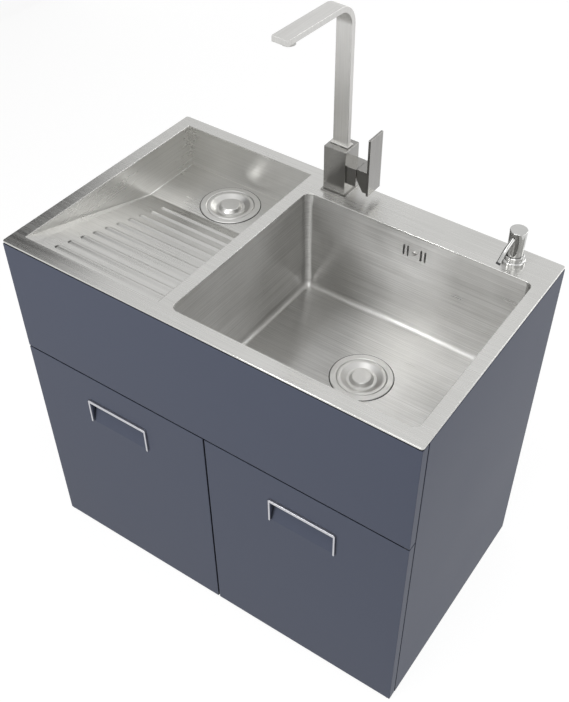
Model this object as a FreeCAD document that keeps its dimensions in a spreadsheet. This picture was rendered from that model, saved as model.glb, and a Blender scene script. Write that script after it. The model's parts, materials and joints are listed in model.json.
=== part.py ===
import FreeCAD, Part
import math
import os
import re

import Sketcher

# Utility sink cabinet: a steel deck with a deep bowl and a washboard tray on a two-door cabinet.
# Millimetres. X runs to the right, Y to the back and Z up. The origin is on the floor, at the
# middle of the bounding box, and the front faces -Y.

SIZES = [
    # Whole cabinet
    ("width", 800, "deck and carcass, side to side"),
    ("depth", 480, "deck, front to back"),
    ("body_height", 724, "side panel bottom to deck top"),
    ("base_gap", 6, "floor to side panel bottom"),
    ("board", 18, "thickness of doors, fascia, sides and bottom"),
    ("back_board", 8, "thickness of the back panel"),
    ("front_gap", 2.5, "front panels to carcass"),
    ("reveal", 3, "gap between doors and under the fascia"),
    ("door_height", 480, "door, top to bottom"),
    ("edge_ease", 1, "rounding of board edges"),
    ("metal_ease", 0.8, "rounding of metal edges"),
    ("fit", 0.05, "radial clearance of a round fit"),
    ("overrun", 5, "length by which a cut passes a face"),
    # Deck
    ("deck_plate", 3, "deck thickness"),
    ("deck_ease", 1, "rounding of the deck's top edges"),
    ("deck_corner", 5, "radius of the deck's corners"),
    ("seal_thick", 3, "strip between deck and carcass"),
    ("seal_inset", 3, "strip back from the deck's edge"),
    ("seal_width", 6, "strip width"),
    ("side_rim", 25, "deck outside the tray and the bowl"),
    ("front_rim", 28, "deck in front of the tray and the bowl"),
    ("tray_back_rim", 25, "deck behind the tray"),
    ("bowl_back_rim", 74, "deck behind the bowl"),
    ("tray_width", 283, "tray opening"),
    ("divider", 25, "deck between tray and bowl"),
    ("sink_sheet", 1.2, "bowl and tray wall"),
    # Bowl
    ("bowl_depth", 210, "deck top to bowl floor"),
    ("bowl_corner", 13, "upright corner radius"),
    ("bowl_foot", 10, "radius between walls and floor"),
    ("main_drain_aside", 2, "drain right of the bowl's middle"),
    ("main_drain_behind", 32, "drain behind the bowl's middle"),
    # Tray
    ("tray_depth", 87, "deck top to tray floor"),
    ("ramp_run", 300, "front rim to the foot of the ramp"),
    ("ramp_lip", 1, "drop where the ramp leaves the deck"),
    ("strip_front_width", 20, "corner strip at the ramp's head"),
    ("strip_foot_width", 1, "corner strip at the ramp's foot"),
    ("strip_foot_height", 1.2, "corner strip at the ramp's foot"),
    ("rib_first", 18, "front rim to the first rib"),
    ("rib_pitch", 28.4, "rib to rib, along the ramp"),
    ("rib_radius", 11, "round of a rib"),
    ("rib_rise", 2.6, "height of a rib above the ramp"),
    ("rib_left_margin", 50, "left wall to the ribs"),
    ("tray_drain_aside", 3.5, "drain right of the tray's middle"),
    ("tray_drain_back", 67, "tray's back wall to drain"),
    # Overflow
    ("overflow_drop", 37, "deck top to the overflow screw"),
    ("slot_height", 22, "overflow slot"),
    ("slot_wide", 3.6, "overflow slot"),
    ("slot_near", 13, "screw to the inner slots"),
    ("slot_far", 21, "screw to the outer slots"),
    ("overflow_half_width", 34, "overflow box"),
    ("overflow_half_height", 20, "overflow box"),
    ("overflow_deep", 27, "overflow box"),
    ("overflow_wall", 2, "overflow box and pipe wall"),
    ("overflow_pipe_radius", 12.5, "overflow pipe, outside"),
    ("overflow_spigot", 15, "spigot under the overflow box"),
    ("overflow_boss_radius", 5, "boss that takes the screw"),
    # Strainers
    ("flange_radius", 57, "strainer flange"),
    ("flange_thick", 1.5, "strainer flange"),
    ("cup_radius", 46, "strainer cup, outside"),
    ("cup_wall", 1.5, "strainer cup"),
    ("seat_deep", 8, "ledge that carries the basket"),
    ("seat_step", 4.5, "ledge width"),
    ("cup_deep", 50, "strainer cup"),
    ("spigot_radius", 24, "strainer outlet, outside"),
    ("spigot_wall", 3, "strainer outlet"),
    ("spigot_long", 30, "strainer outlet"),
    ("gasket_thick", 2, "strainer gasket"),
    ("nut_tall", 12, "strainer nut"),
    ("hole_play", 0.5, "sheet hole round the strainer cup"),
    ("basket_play", 0.4, "basket in its cup"),
    ("basket_sheet", 1.2, "basket and cover"),
    ("basket_deep", 26, "basket below its rim"),
    ("basket_hole", 3, "radius of a basket hole"),
    ("basket_ring", 26, "radius of the ring of basket holes"),
    ("cover_radius", 44, "drain cover"),
    ("cover_rise", 1.2, "drain cover's rim above the sink floor"),
    ("cover_flat", 37.5, "inner radius of the cover's flat rim"),
    ("cover_round", 8, "bend from the cover's rim into its sunk ring"),
    ("cover_post", 4, "radius of the cover's post"),
    ("dish_radius", 27, "sunk ring of the cover"),
    ("dish_drop", 5, "sunk ring below the cover's rim"),
    ("knob_radius", 18.5, "drain cover knob"),
    ("knob_foot", 22, "drain cover knob, radius at its foot"),
    ("knob_tall", 2, "drain cover knob above the cover's rim"),
    ("knob_round", 1.5, "drain cover knob edge"),
    # Drain pipes
    ("drain_drop", 140, "bowl floor to the axis of the pipes under it"),
    ("pipe_bend", 35, "bend radius of the pipes"),
    ("pipe_wall", 2.5, "pipe wall"),
    ("inlet_drop", 34, "sink floor to the strainer's side inlet"),
    ("inlet_reach", 64, "drain axis to the end of the side inlet"),
    ("junction_radius", 34, "junction, outside"),
    ("junction_wall", 3, "junction and trap wall"),
    ("junction_half", 35, "junction, half height"),
    ("socket_wall", 4, "socket round a pipe"),
    ("socket_long", 22, "socket beyond the junction or trap"),
    ("trap_radius", 30, "trap body"),
    ("trap_tall", 95, "trap body"),
    ("trap_lap", 14, "cup over trap body"),
    ("cup_below", 58, "cup below the trap body"),
    ("dip_radius", 20, "dip tube in the trap"),
    ("dip_above", 25, "dip tube's end above the cup floor"),
    ("outlet_radius", 20, "outlet pipe, outside"),
    ("outlet_step", 2, "outlet pipe's shoulder against its socket"),
    ("outlet_drop", 36, "junction bottom to the outlet's axis"),
    ("outlet_back", 2, "outlet's end in front of the back"),
    ("slip_nut_tall", 22, "nut over a pipe joint"),
    ("slip_nut_wall", 7, "nut over a pipe joint"),
    # Faucet
    ("faucet_in", 40, "bowl's left wall to the faucet axis"),
    ("faucet_back", 29, "faucet axis in front of the back"),
    ("plate_side", 51, "faucet base plate"),
    ("plate_thick", 3, "faucet base plate"),
    ("body_side", 44, "faucet body"),
    ("body_top", 91, "deck top to faucet body top"),
    ("shank_radius", 14, "faucet shank"),
    ("shank_long", 60, "faucet shank below the deck's top"),
    ("inlet_radius", 4.5, "threaded water inlet"),
    ("inlet_deep", 16, "threaded water inlet"),
    ("inlet_apart", 13, "water inlet to water inlet"),
    ("shank_nut_radius", 19, "faucet nut"),
    ("shank_nut_tall", 10, "faucet nut"),
    ("washer_thick", 2, "rubber washers under the deck"),
    ("valve_long", 20, "valve block out of the body"),
    ("valve_side", 36, "valve block"),
    ("valve_axis", 46, "deck top to valve axis"),
    ("cartridge_radius", 13, "cartridge"),
    ("cartridge_long", 34, "cartridge"),
    # Spout
    ("spout_wide", 30.5, "spout bar"),
    ("spout_thick", 10, "spout bar"),
    ("spout_wall", 2, "spout bar wall"),
    ("spout_rise", 352, "deck top to spout top"),
    ("spout_reach", 170.5, "faucet axis to spout tip"),
    ("spout_bend", 40, "outer bend radius"),
    ("spout_turn", 2, "degrees that the spout stands turned to the left"),
    ("spout_foot_wide", 36.5, "foot flange of the spout"),
    ("spout_foot_deep", 18, "foot flange of the spout"),
    ("spout_foot_thick", 3, "foot flange of the spout"),
    ("spout_pivot", 9, "radius of the pivot under the spout"),
    ("spout_pivot_long", 24, "pivot under the spout"),
    ("turn_play", 0.3, "gap between turning flat faces"),
    ("aerator_radius", 11.5, "aerator"),
    ("aerator_tall", 6.5, "aerator"),
    ("aerator_in", 21, "spout tip to aerator"),
    # Lever
    ("lever_gap", 1.5, "valve block to lever"),
    ("lever_long", 26, "lever block"),
    ("lever_wide", 36, "lever block"),
    ("lever_up", 19.5, "lever block above the valve axis"),
    ("lever_down", 23.5, "lever block below the valve axis"),
    ("lever_bevel", 12.5, "bevel under the lever block"),
    ("lever_bevel_drop", 2, "bevel's start below the valve axis"),
    ("paddle_thick", 4.5, "lever paddle"),
    ("paddle_wide", 41, "lever paddle"),
    ("paddle_up", 85.5, "paddle above the valve axis"),
    ("paddle_down", 26.5, "paddle below the valve axis"),
    ("stem_radius", 4.5, "lever stem"),
    ("stem_inside", 14, "lever stem in the cartridge"),
    ("eye_radius", 5.5, "eye at the lever stem's end"),
    ("eye_half", 4, "eye at the lever stem's end, half width"),
    ("pin_in", 6.5, "lever's face to its pin"),
    ("pin_radius", 2, "lever pin"),
    ("pocket_half_wide", 5.2, "pocket round the stem"),
    ("pocket_half_tall", 9.5, "pocket round the stem"),
    ("pocket_end", 8, "pocket beyond the pin"),
    # Dispenser
    ("dispenser_side", 79, "dispenser axis to the deck's right edge"),
    ("dispenser_back", 37, "dispenser axis to the deck's back edge"),
    ("collar_radius", 20.8, "dispenser flange"),
    ("collar_thick", 7.5, "dispenser flange"),
    ("collar_round", 3.2, "rounding of the dispenser flange"),
    ("neck_radius", 17.2, "dispenser neck"),
    ("neck_top", 15, "dispenser neck above the deck"),
    ("neck_bore", 14.7, "bore that takes the head"),
    ("neck_bore_deep", 13.5, "bore that takes the head"),
    ("tail_radius", 14.5, "threaded tail under the flange"),
    ("tail_long", 40, "threaded tail under the deck's top"),
    ("tail_nut_radius", 22, "dispenser nut"),
    ("tail_nut_tall", 8, "dispenser nut"),
    ("stem_bore", 4, "pump stem"),
    ("stem_up", 22, "pump stem in the head"),
    ("stem_down", 62, "pump stem below the deck's top"),
    ("piston_radius", 7, "pump piston"),
    ("piston_tall", 8, "pump piston"),
    ("press_travel", 12, "pump stroke"),
    ("pump_radius", 10, "pump barrel, outside"),
    ("pump_wall", 1.5, "pump barrel"),
    ("pump_long", 60, "pump barrel below the tail"),
    ("bottle_radius", 28, "soap bottle"),
    ("bottle_wall", 1.5, "soap bottle"),
    ("bottle_long", 118, "soap bottle"),
    ("bottle_shoulder", 14, "soap bottle shoulder"),
    ("bottle_neck_long", 10, "soap bottle neck over the tail"),
    ("head_foot_radius", 14.2, "head at its foot"),
    ("head_top_radius", 15.2, "head at its top"),
    ("head_foot", 14, "head's foot above the deck"),
    ("head_top", 64, "head's top above the deck"),
    ("head_round", 1.5, "head's top edge"),
    ("nozzle_radius", 3.6, "nozzle"),
    ("nozzle_bore", 2.2, "nozzle"),
    ("nozzle_root", 60, "nozzle's root above the deck"),
    ("nozzle_out", 32, "nozzle's bend point from the head's axis"),
    ("nozzle_rise", 38.5, "nozzle's bend point above the deck"),
    ("nozzle_tip_out", 48, "nozzle's tip from the head's axis"),
    ("nozzle_tip", 20, "nozzle's tip above the deck"),
    ("nozzle_bend", 40, "nozzle's bend radius"),
    ("nozzle_aside", 8, "nozzle tip's offset to the left"),
    # Pulls
    ("pull_drop", 67.5, "door top to the recess"),
    ("pull_wide", 127, "recess"),
    ("pull_tall", 49.5, "recess"),
    ("pull_deep", 14, "recess, at its top"),
    ("trim_top", 6.5, "trim bar above the recess"),
    ("trim_side", 3.5, "trim bar beside the recess"),
    ("trim_corner", 2.5, "cut across the trim's outer corners"),
    ("trim_proud", 4, "trim bar in front of the door"),
    # Hinges
    ("hinge_inset", 6.5, "door's outer edge to its pin"),
    ("hinge_setback", 6.5, "door's front face to its pin"),
    ("hinge_leaf", 2, "hinge plate"),
    ("hinge_play", 1, "hinge plate to door"),
    ("hinge_long", 48, "hinge plate along the front"),
    ("hinge_tongue", 34, "hinge plate behind the front edge"),
    ("hinge_margin", 2, "hinge plate back from the edges"),
    ("hinge_pin", 3, "radius of the hinge pin"),
    ("hinge_pin_long", 12, "hinge pin in the door"),
    ("bush_wall", 1.4, "door bush"),
    ("bush_flange", 1.6, "bush flange round the bush"),
    ("bush_gap", 0.3, "top bush flange to its hinge plate"),
    ("bumper_radius", 4, "door bumper"),
    ("bumper_side", 30, "door bumper from the middle"),
    # Carcass
    ("rail_thick", 12, "wall rail"),
    ("rail_drop", 244, "carcass top to the wall rail's lower edge"),
    ("rail_tall", 80, "wall rail"),
    ("wall_hole", 4, "radius of a wall fixing hole"),
    ("wall_hole_in", 82, "wall fixing hole from the side panel"),
    ("service_reach", 190, "service opening left of the drain's axis"),
    ("service_margin", 36, "service opening to the side panel"),
    ("service_low", 120, "service opening above the floor"),
    ("service_drop", 60, "wall rail to the service opening"),
    ("bracket_sheet", 2.5, "fascia bracket"),
    ("bracket_wide", 32, "fascia bracket along the fascia"),
    ("bracket_deep", 38, "fascia bracket along the side"),
    ("bracket_tall", 24, "fascia bracket"),
    ("bracket_edge", 4, "lower bracket above the fascia's edge"),
    ("bracket_drop", 44, "upper bracket below the carcass top"),
    ("screw_radius", 2, "fascia screw"),
    ("screw_long", 12, "fascia screw in the board"),
    ("screw_head", 4, "radius of a screw head"),
    ("screw_head_tall", 2, "screw head"),
    ("screw_in", 17, "screw from the bracket's corner"),
    ("glide_radius", 20, "floor glide"),
    ("glide_side", 60, "glide from the side"),
    ("glide_end", 55, "glide from the front and the back"),
    ("glide_chamfer", 1.5, "glide's lower edge"),
]

PLACES = [
    ("deck_top", "base_gap + body_height"),
    ("deck_under", "deck_top - deck_plate"),
    ("carcass_top", "deck_under - seal_thick"),
    ("half_width", "width / 2"),
    ("inner_half", "half_width - board"),
    ("front_face", "-(depth - trim_proud) / 2"),
    ("back_face", "(depth + trim_proud) / 2"),
    ("front_inner", "front_face + board"),
    ("carcass_front", "front_inner + front_gap"),
    ("back_inner", "back_face - back_board"),
    ("floor_low", "base_gap + hinge_leaf"),
    ("floor_top", "floor_low + board"),
    ("door_low", "floor_low + hinge_play"),
    ("door_top", "door_low + door_height"),
    ("fascia_low", "door_top + reveal"),
    ("tray_left", "-half_width + side_rim"),
    ("tray_right", "tray_left + tray_width"),
    ("bowl_left", "tray_right + divider"),
    ("bowl_right", "half_width - side_rim"),
    ("faucet_x", "bowl_left + faucet_in"),
    ("rim_front", "front_face + front_rim"),
    ("tray_back", "back_face - tray_back_rim"),
    ("bowl_back", "back_face - bowl_back_rim"),
    ("bowl_floor", "deck_top - bowl_depth"),
    ("bowl_under", "bowl_floor - sink_sheet"),
    ("bowl_outer_corner", "bowl_corner + sink_sheet"),
    ("bowl_outer_foot", "bowl_foot + sink_sheet"),
    ("tray_floor", "deck_top - tray_depth"),
    ("ramp_foot", "rim_front + ramp_run"),
    ("main_x", "(bowl_left + bowl_right) / 2 + main_drain_aside"),
    ("main_y", "(rim_front + bowl_back) / 2 + main_drain_behind"),
    ("tray_x", "(tray_left + tray_right) / 2 + tray_drain_aside"),
    ("tray_y", "tray_back - tray_drain_back"),
    ("overflow_z", "deck_top - overflow_drop"),
    ("overflow_front", "bowl_back + sink_sheet"),
    ("overflow_y", "overflow_front + overflow_deep / 2"),
    ("drain_level", "bowl_floor - drain_drop"),
    ("junction_low", "drain_level - junction_half"),
    ("trap_low", "junction_low - trap_tall"),
    ("outlet_z", "junction_low - outlet_drop"),
    ("faucet_y", "back_face - faucet_back"),
    ("aerator_x", "faucet_x - (spout_reach - aerator_in) * sin(spout_turn)"),
    ("aerator_y", "faucet_y - (spout_reach - aerator_in) * cos(spout_turn)"),
    ("valve_x", "faucet_x + body_side / 2 + valve_long"),
    ("valve_z", "deck_top + valve_axis"),
    ("lever_x", "valve_x + lever_gap"),
    ("pin_x", "lever_x + pin_in"),
    ("dispenser_x", "half_width - dispenser_side"),
    ("dispenser_y", "back_face - dispenser_back"),
    ("collar_top", "deck_top + collar_thick"),
    ("tail_end", "deck_top - tail_long"),
    ("pull_mid", "(half_width + reveal / 2) / 2"),
    ("pull_top", "door_top - pull_drop"),
    ("pull_low", "pull_top - pull_tall"),
    ("hinge_x", "half_width - hinge_inset"),
    ("hinge_y", "front_face + hinge_setback"),
    ("bush_radius", "hinge_pin + fit + bush_wall"),
    ("rail_low", "carcass_top - rail_drop"),
    ("wall_hole_x", "inner_half - wall_hole_in"),
    ("wall_hole_z", "rail_low + rail_tall / 2"),
]

RIB_COUNT = 10
BASKET_HOLE_COUNT = 12
HALF_TURN = 180
SIDES = {"left": -1, "right": 1}

DOC = FreeCAD.newDocument("utility_sink_cabinet")
SHEET = DOC.addObject("Spreadsheet::Sheet", "Dimensions")
PARTS = []


def fill_sheet():
    rows = [(alias, str(number), note) for alias, number, note in SIZES]
    rows += [(alias, "=" + formula, "") for alias, formula in PLACES]
    for row, (alias, content, note) in enumerate(rows, start=1):
        SHEET.set("A%d" % row, alias)
        SHEET.set("B%d" % row, content)
        SHEET.set("C%d" % row, note)
        SHEET.setAlias("B%d" % row, alias)
    DOC.recompute()


ALIAS = re.compile(r"\b(" + "|".join(row[0] for row in SIZES + PLACES) + r")\b")


def size(alias):
    return float(getattr(SHEET, alias))


def bind(item, prop, formula):
    item.setExpression(prop, ALIAS.sub(r"Dimensions.\1", formula))


def place(item, x, y, z):
    bind(item, "Placement.Base.x", x)
    bind(item, "Placement.Base.y", y)
    bind(item, "Placement.Base.z", z)
    return item


def box(x, y, z):
    """A box between two formulas along each axis."""
    item = DOC.addObject("Part::Box", "Box")
    for prop, (low, high) in zip(("Length", "Width", "Height"), (x, y, z)):
        bind(item, prop, "(%s) - (%s)" % (high, low))
    return place(item, x[0], y[0], z[0])


def upright(radius, x, y, z):
    """A cylinder along Z between two heights."""
    item = DOC.addObject("Part::Cylinder", "Upright")
    bind(item, "Radius", radius)
    bind(item, "Height", "(%s) - (%s)" % (z[1], z[0]))
    return place(item, x, y, z[0])


def along_x(radius, x, y, z):
    item = DOC.addObject("Part::Cylinder", "AlongX")
    item.Placement.Rotation = FreeCAD.Rotation(FreeCAD.Vector(0, 1, 0), HALF_TURN / 2)
    bind(item, "Radius", radius)
    bind(item, "Height", "(%s) - (%s)" % (x[1], x[0]))
    return place(item, x[0], y, z)


def along_y(radius, x, y, z):
    item = DOC.addObject("Part::Cylinder", "AlongY")
    item.Placement.Rotation = FreeCAD.Rotation(FreeCAD.Vector(1, 0, 0), -HALF_TURN / 2)
    bind(item, "Radius", radius)
    bind(item, "Height", "(%s) - (%s)" % (y[1], y[0]))
    return place(item, x, y[0], z)


def join(*items):
    item = DOC.addObject("Part::MultiFuse", "Join")
    item.Shapes = list(items)
    item.Refine = True
    return item


def cut(base, *tools):
    item = DOC.addObject("Part::Cut", "Cut")
    item.Base = base
    item.Tool = tools[0] if len(tools) == 1 else join(*tools)
    return item


def group(items):
    item = DOC.addObject("Part::Compound", "Group")
    item.Links = items
    return item


def solid(shape):
    """A feature for a shape that is worked out with Part's own functions."""
    item = DOC.addObject("Part::Feature", "Solid")
    item.Shape = shape
    return item


def ease(base, radius, wanted=None):
    """Round the edges of an item, or those that a test picks."""
    DOC.recompute()
    item = DOC.addObject("Part::Fillet", "Ease")
    item.Base = base
    numbers = [
        number
        for number, edge in enumerate(base.Shape.Edges, start=1)
        if wanted is None or wanted(edge)
    ]
    item.Edges = [(number, size(radius), size(radius)) for number in numbers]
    return item


def keep(label, item):
    item.Label = label
    PARTS.append(item)
    return item


def is_upright(edge):
    bounds = edge.BoundBox
    return bounds.ZLength > bounds.XLength + bounds.YLength


def at_height(level):
    def test(edge):
        return abs(edge.BoundBox.ZMin - size(level)) + abs(edge.BoundBox.ZMax - size(level)) < size("fit")

    return test


def outline(body, role, points):
    """A closed sketch of straight lines whose corners are bound to pairs of formulas."""
    sketch = body.newObject("Sketcher::SketchObject", "Outline")
    plane = [feature for feature in body.Origin.OriginFeatures if feature.Role == role][0]
    sketch.AttachmentSupport = [(plane, "")]
    sketch.MapMode = "FlatFace"
    turn = 2 * math.pi / len(points)
    starts = [FreeCAD.Vector(math.cos(turn * i), math.sin(turn * i), 0) for i in range(len(points))]
    for i, start in enumerate(starts):
        sketch.addGeometry(Part.LineSegment(start, starts[(i + 1) % len(points)]), False)
    for i in range(len(points)):
        sketch.addConstraint(Sketcher.Constraint("Coincident", i, 2, (i + 1) % len(points), 1))
    for i, point in enumerate(points):
        for kind, here, formula in zip(("DistanceX", "DistanceY"), starts[i], point):
            number = sketch.addConstraint(Sketcher.Constraint(kind, -1, 1, i, 1, here))
            bind(sketch, "Constraints[%d]" % number, formula)
    return sketch


def turned(points, x, y, z):
    """A body turned about a vertical axis from a profile of radius and height formulas."""
    body = DOC.addObject("PartDesign::Body", "Turned")
    sketch = outline(body, "XZ_Plane", points)
    DOC.recompute()
    feature = body.newObject("PartDesign::Revolution", "Turn")
    feature.Profile = sketch
    feature.ReferenceAxis = (sketch, ["V_Axis"])
    feature.Angle = 2 * HALF_TURN
    return place(body, x, y, z)


def padded(role, points, length, x, y, z):
    """A body padded from a straight outline: +X from YZ_Plane, -Y from XZ_Plane."""
    body = DOC.addObject("PartDesign::Body", "Padded")
    sketch = outline(body, role, points)
    DOC.recompute()
    feature = body.newObject("PartDesign::Pad", "Pad")
    feature.Profile = sketch
    bind(feature, "Length", length)
    return place(body, x, y, z)


def ring(outer, inner, x, y, z):
    height = "(%s) - (%s)" % (z[1], z[0])
    return turned([(inner, "0"), (outer, "0"), (outer, height), (inner, height)], x, y, z[0])


def bent_path(points, radius):
    """A wire of straight runs joined by tangent arcs."""
    edges = []
    start = points[0]
    for before, corner, after in zip(points, points[1:], points[2:]):
        back = (before - corner).normalize()
        ahead = (after - corner).normalize()
        half = back.getAngle(ahead) / 2
        reach = radius / math.tan(half)
        middle = corner + (back + ahead).normalize() * (radius / math.sin(half) - radius)
        edges.append(Part.LineSegment(start, corner + back * reach).toShape())
        edges.append(Part.Arc(corner + back * reach, middle, corner + ahead * reach).toShape())
        start = corner + ahead * reach
    edges.append(Part.LineSegment(start, points[-1]).toShape())
    return Part.Wire(edges)


def bent_rod(points, bend, radius):
    path = bent_path(points, bend)
    circle = Part.Circle(points[0], points[1] - points[0], radius)
    return path.makePipeShell([Part.Wire([circle.toShape()])], True, False)


def bent_tube(points, bend, radius, wall):
    return bent_rod(points, bend, radius).cut(bent_rod(points, bend, radius - wall))


def spot(x, y, z):
    return FreeCAD.Vector(x, y, z)


def block(x, y, z):
    """A plain box shape between two numbers along each axis."""
    return Part.makeBox(x[1] - x[0], y[1] - y[0], z[1] - z[0], spot(x[0], y[0], z[0]))


# Deck, bowl and tray


def sink_deck():
    plate = box(("-half_width", "half_width"), ("front_face", "back_face"), ("deck_under", "deck_top"))
    plate = ease(plate, "deck_corner", is_upright)
    cut_height = ("deck_under - overrun", "deck_top + overrun")
    tray = box(("tray_left", "tray_right"), ("rim_front", "tray_back"), cut_height)
    bowl = box(("bowl_left", "bowl_right"), ("rim_front", "bowl_back"), cut_height)
    bowl = ease(bowl, "bowl_corner", is_upright)
    faucet = upright("shank_radius + hole_play", "faucet_x", "faucet_y", cut_height)
    dispenser = upright("tail_radius + hole_play", "dispenser_x", "dispenser_y", cut_height)
    deck = cut(plate, tray, bowl, faucet, dispenser)
    on_top = at_height("deck_top")

    def visible(edge):
        middle = edge.BoundBox.Center
        ramp_head = abs(middle.y - size("rim_front")) < size("fit") and middle.x < size("tray_right")
        return on_top(edge) and not ramp_head

    keep("sink_deck", ease(deck, "deck_ease", visible))


def deck_seal():
    height = ("carcass_top", "deck_under")
    outer = box(
        ("-half_width + seal_inset", "half_width - seal_inset"),
        ("front_face + seal_inset", "back_face - seal_inset"),
        height,
    )
    band = "seal_inset + seal_width"
    inner = box(
        ("-half_width + %s" % band, "half_width - (%s)" % band),
        ("front_face + %s" % band, "back_face - (%s)" % band),
        ("carcass_top - overrun", "deck_under + overrun"),
    )
    keep("deck_seal", cut(outer, inner))


def bowl_form(wall, floor, top, corner, foot):
    """The bowl's inside, or its outside with a wall, with the upright corners and the foot rounded."""
    form = box(
        ("bowl_left - " + wall, "bowl_right + " + wall),
        ("rim_front - " + wall, "bowl_back + " + wall),
        (floor, top),
    )
    form = ease(form, corner, is_upright)
    return ease(form, foot, at_height(floor))


def overflow_slots():
    slots = []
    for shift in ("-slot_far", "-slot_near", "slot_near", "slot_far"):
        slots.append(
            box(
                ("main_x + %s - slot_wide / 2" % shift, "main_x + %s + slot_wide / 2" % shift),
                ("bowl_back - overrun", "bowl_back + sink_sheet + overrun"),
                ("overflow_z - slot_height / 2", "overflow_z + slot_height / 2"),
            )
        )
    return slots


def main_bowl():
    outer = bowl_form("sink_sheet", "bowl_under", "deck_under", "bowl_outer_corner", "bowl_outer_foot")
    inner = bowl_form("0", "bowl_floor", "deck_top", "bowl_corner", "bowl_foot")
    drain = upright(
        "cup_radius + hole_play", "main_x", "main_y", ("bowl_floor - overrun", "bowl_floor + overrun")
    )
    through = ("bowl_back - overrun", "bowl_back + sink_sheet + overrun")
    screw = along_y("screw_radius + fit", "main_x", through, "overflow_z")
    keep("main_bowl", cut(outer, inner, drain, screw, *overflow_slots()))


def tray_section(y, grow, drop, strip_wide, strip_tall, floor, top):
    """One cross-section of the tray: upright walls, a slanted strip at the left and the floor."""
    left = size("tray_left") - grow
    right = size("tray_right") + grow
    low = floor - drop
    corners = [(left, top), (left, low + strip_tall), (left + strip_wide, low), (right, low), (right, top)]
    return Part.makePolygon([spot(x, y, z) for x, z in corners + corners[:1]])


def tray_form(grow, drop, top):
    """The tray's inside, or with grow and drop its outside: a ramp and a flat floor."""
    head = (size("strip_front_width"), size("ramp_lip"), size("deck_top") - size("ramp_lip"))
    foot = (size("strip_foot_width"), size("strip_foot_height"), size("tray_floor"))
    front = tray_section(size("rim_front"), grow, drop, *head, top)
    middle = tray_section(size("ramp_foot"), grow, drop, *foot, top)
    back = tray_section(size("tray_back") + grow, grow, drop, *foot, top)
    ramp = Part.makeLoft([front, middle], True, True)
    floor = Part.makeLoft([middle, back], True, True)
    return ramp.fuse(floor).removeSplitter()


def rib(number):
    """A round-backed rib on the ramp, with a round left end, running into the right wall."""
    slope = math.atan2(size("tray_depth") - size("ramp_lip"), size("ramp_run"))
    radius = size("rib_radius")
    left = size("tray_left") + size("rib_left_margin")
    half_sheet = size("sink_sheet") / 2
    right = size("tray_right") + half_sheet
    level = size("rib_rise") - radius
    round_end = spot(left + math.sqrt(radius ** 2 - level ** 2), 0, level)
    bar = Part.makeCylinder(radius, right - round_end.x, round_end, spot(1, 0, 0))
    bar = bar.fuse(Part.makeSphere(radius, round_end))
    bar = bar.common(block((left, right), (-radius, radius), (-half_sheet, radius)))
    bar.rotate(spot(0, 0, 0), spot(1, 0, 0), -math.degrees(slope))
    along = size("rib_first") + number * size("rib_pitch")
    bar.translate(
        spot(0, size("rim_front") + along, size("deck_top") - size("ramp_lip") - along * math.tan(slope))
    )
    return bar


def washboard_tray():
    sheet = size("sink_sheet")
    over = size("overrun")
    shell = tray_form(sheet, sheet, size("deck_top")).cut(tray_form(0, 0, size("deck_top") + over))
    across = (size("tray_left") - over, size("tray_right") + over)
    along = (size("rim_front"), size("tray_back") + over)
    below = block(across, along, (size("tray_floor") - over, size("deck_under")))
    inside = block(
        (size("tray_left"), size("tray_right")),
        (size("rim_front"), size("tray_back")),
        (size("tray_floor") - over, size("deck_top")),
    )
    shell = shell.common(below.fuse(inside))
    for number in range(RIB_COUNT):
        shell = shell.fuse(rib(number))
    drain = Part.makeCylinder(
        size("cup_radius") + size("hole_play"),
        2 * over,
        spot(size("tray_x"), size("tray_y"), size("tray_floor") - over),
    )
    keep("washboard_tray", solid(shell.cut(drain).removeSplitter()))


# Overflow


def overflow_box():
    x = ("main_x - overflow_half_width", "main_x + overflow_half_width")
    y = ("overflow_front", "overflow_front + overflow_deep")
    z = ("overflow_z - overflow_half_height", "overflow_z + overflow_half_height")
    shell = box(x, y, z)
    hollow = box(
        (x[0] + " + overflow_wall", x[1] + " - overflow_wall"),
        (y[0] + " - overrun", y[1] + " - overflow_wall"),
        (z[0] + " + overflow_wall", z[1] + " - overflow_wall"),
    )
    spigot = upright("overflow_pipe_radius", "main_x", "overflow_y", (z[0] + " - overflow_spigot", z[0]))
    boss = along_y(
        "overflow_boss_radius", "main_x", ("overflow_y", y[1] + " - overflow_wall"), "overflow_z"
    )
    bore = upright(
        "overflow_pipe_radius - overflow_wall",
        "main_x",
        "overflow_y",
        (z[0] + " - overflow_spigot - overrun", z[0] + " + overrun"),
    )
    screw = along_y(
        "screw_radius + fit", "main_x", ("overflow_y - overrun", y[1] + " - overflow_wall"), "overflow_z"
    )
    keep("overflow_box", cut(join(cut(shell, hollow), spigot, boss), bore, screw))


def overflow_screw():
    head = along_y("screw_head", "main_x", ("bowl_back - screw_head_tall", "bowl_back"), "overflow_z")
    shank = along_y(
        "screw_radius",
        "main_x",
        ("bowl_back", "overflow_front + overflow_deep - 2 * overflow_wall"),
        "overflow_z",
    )
    head = ease(head, "metal_ease", lambda edge: edge.BoundBox.YMax < size("bowl_back") - size("fit"))
    keep("overflow_screw", join(head, shank))


def overflow_pipe():
    x = size("main_x")
    y = size("overflow_y")
    top = size("overflow_z") - size("overflow_half_height") - size("overflow_spigot")
    low = size("bowl_floor") - size("inlet_drop")
    route = [spot(x, y, top), spot(x, y, low), spot(x, size("main_y") + size("inlet_reach"), low)]
    tube = bent_tube(route, size("pipe_bend"), size("overflow_pipe_radius"), size("overflow_wall"))
    keep("overflow_pipe", solid(tube))


# Strainers


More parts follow.
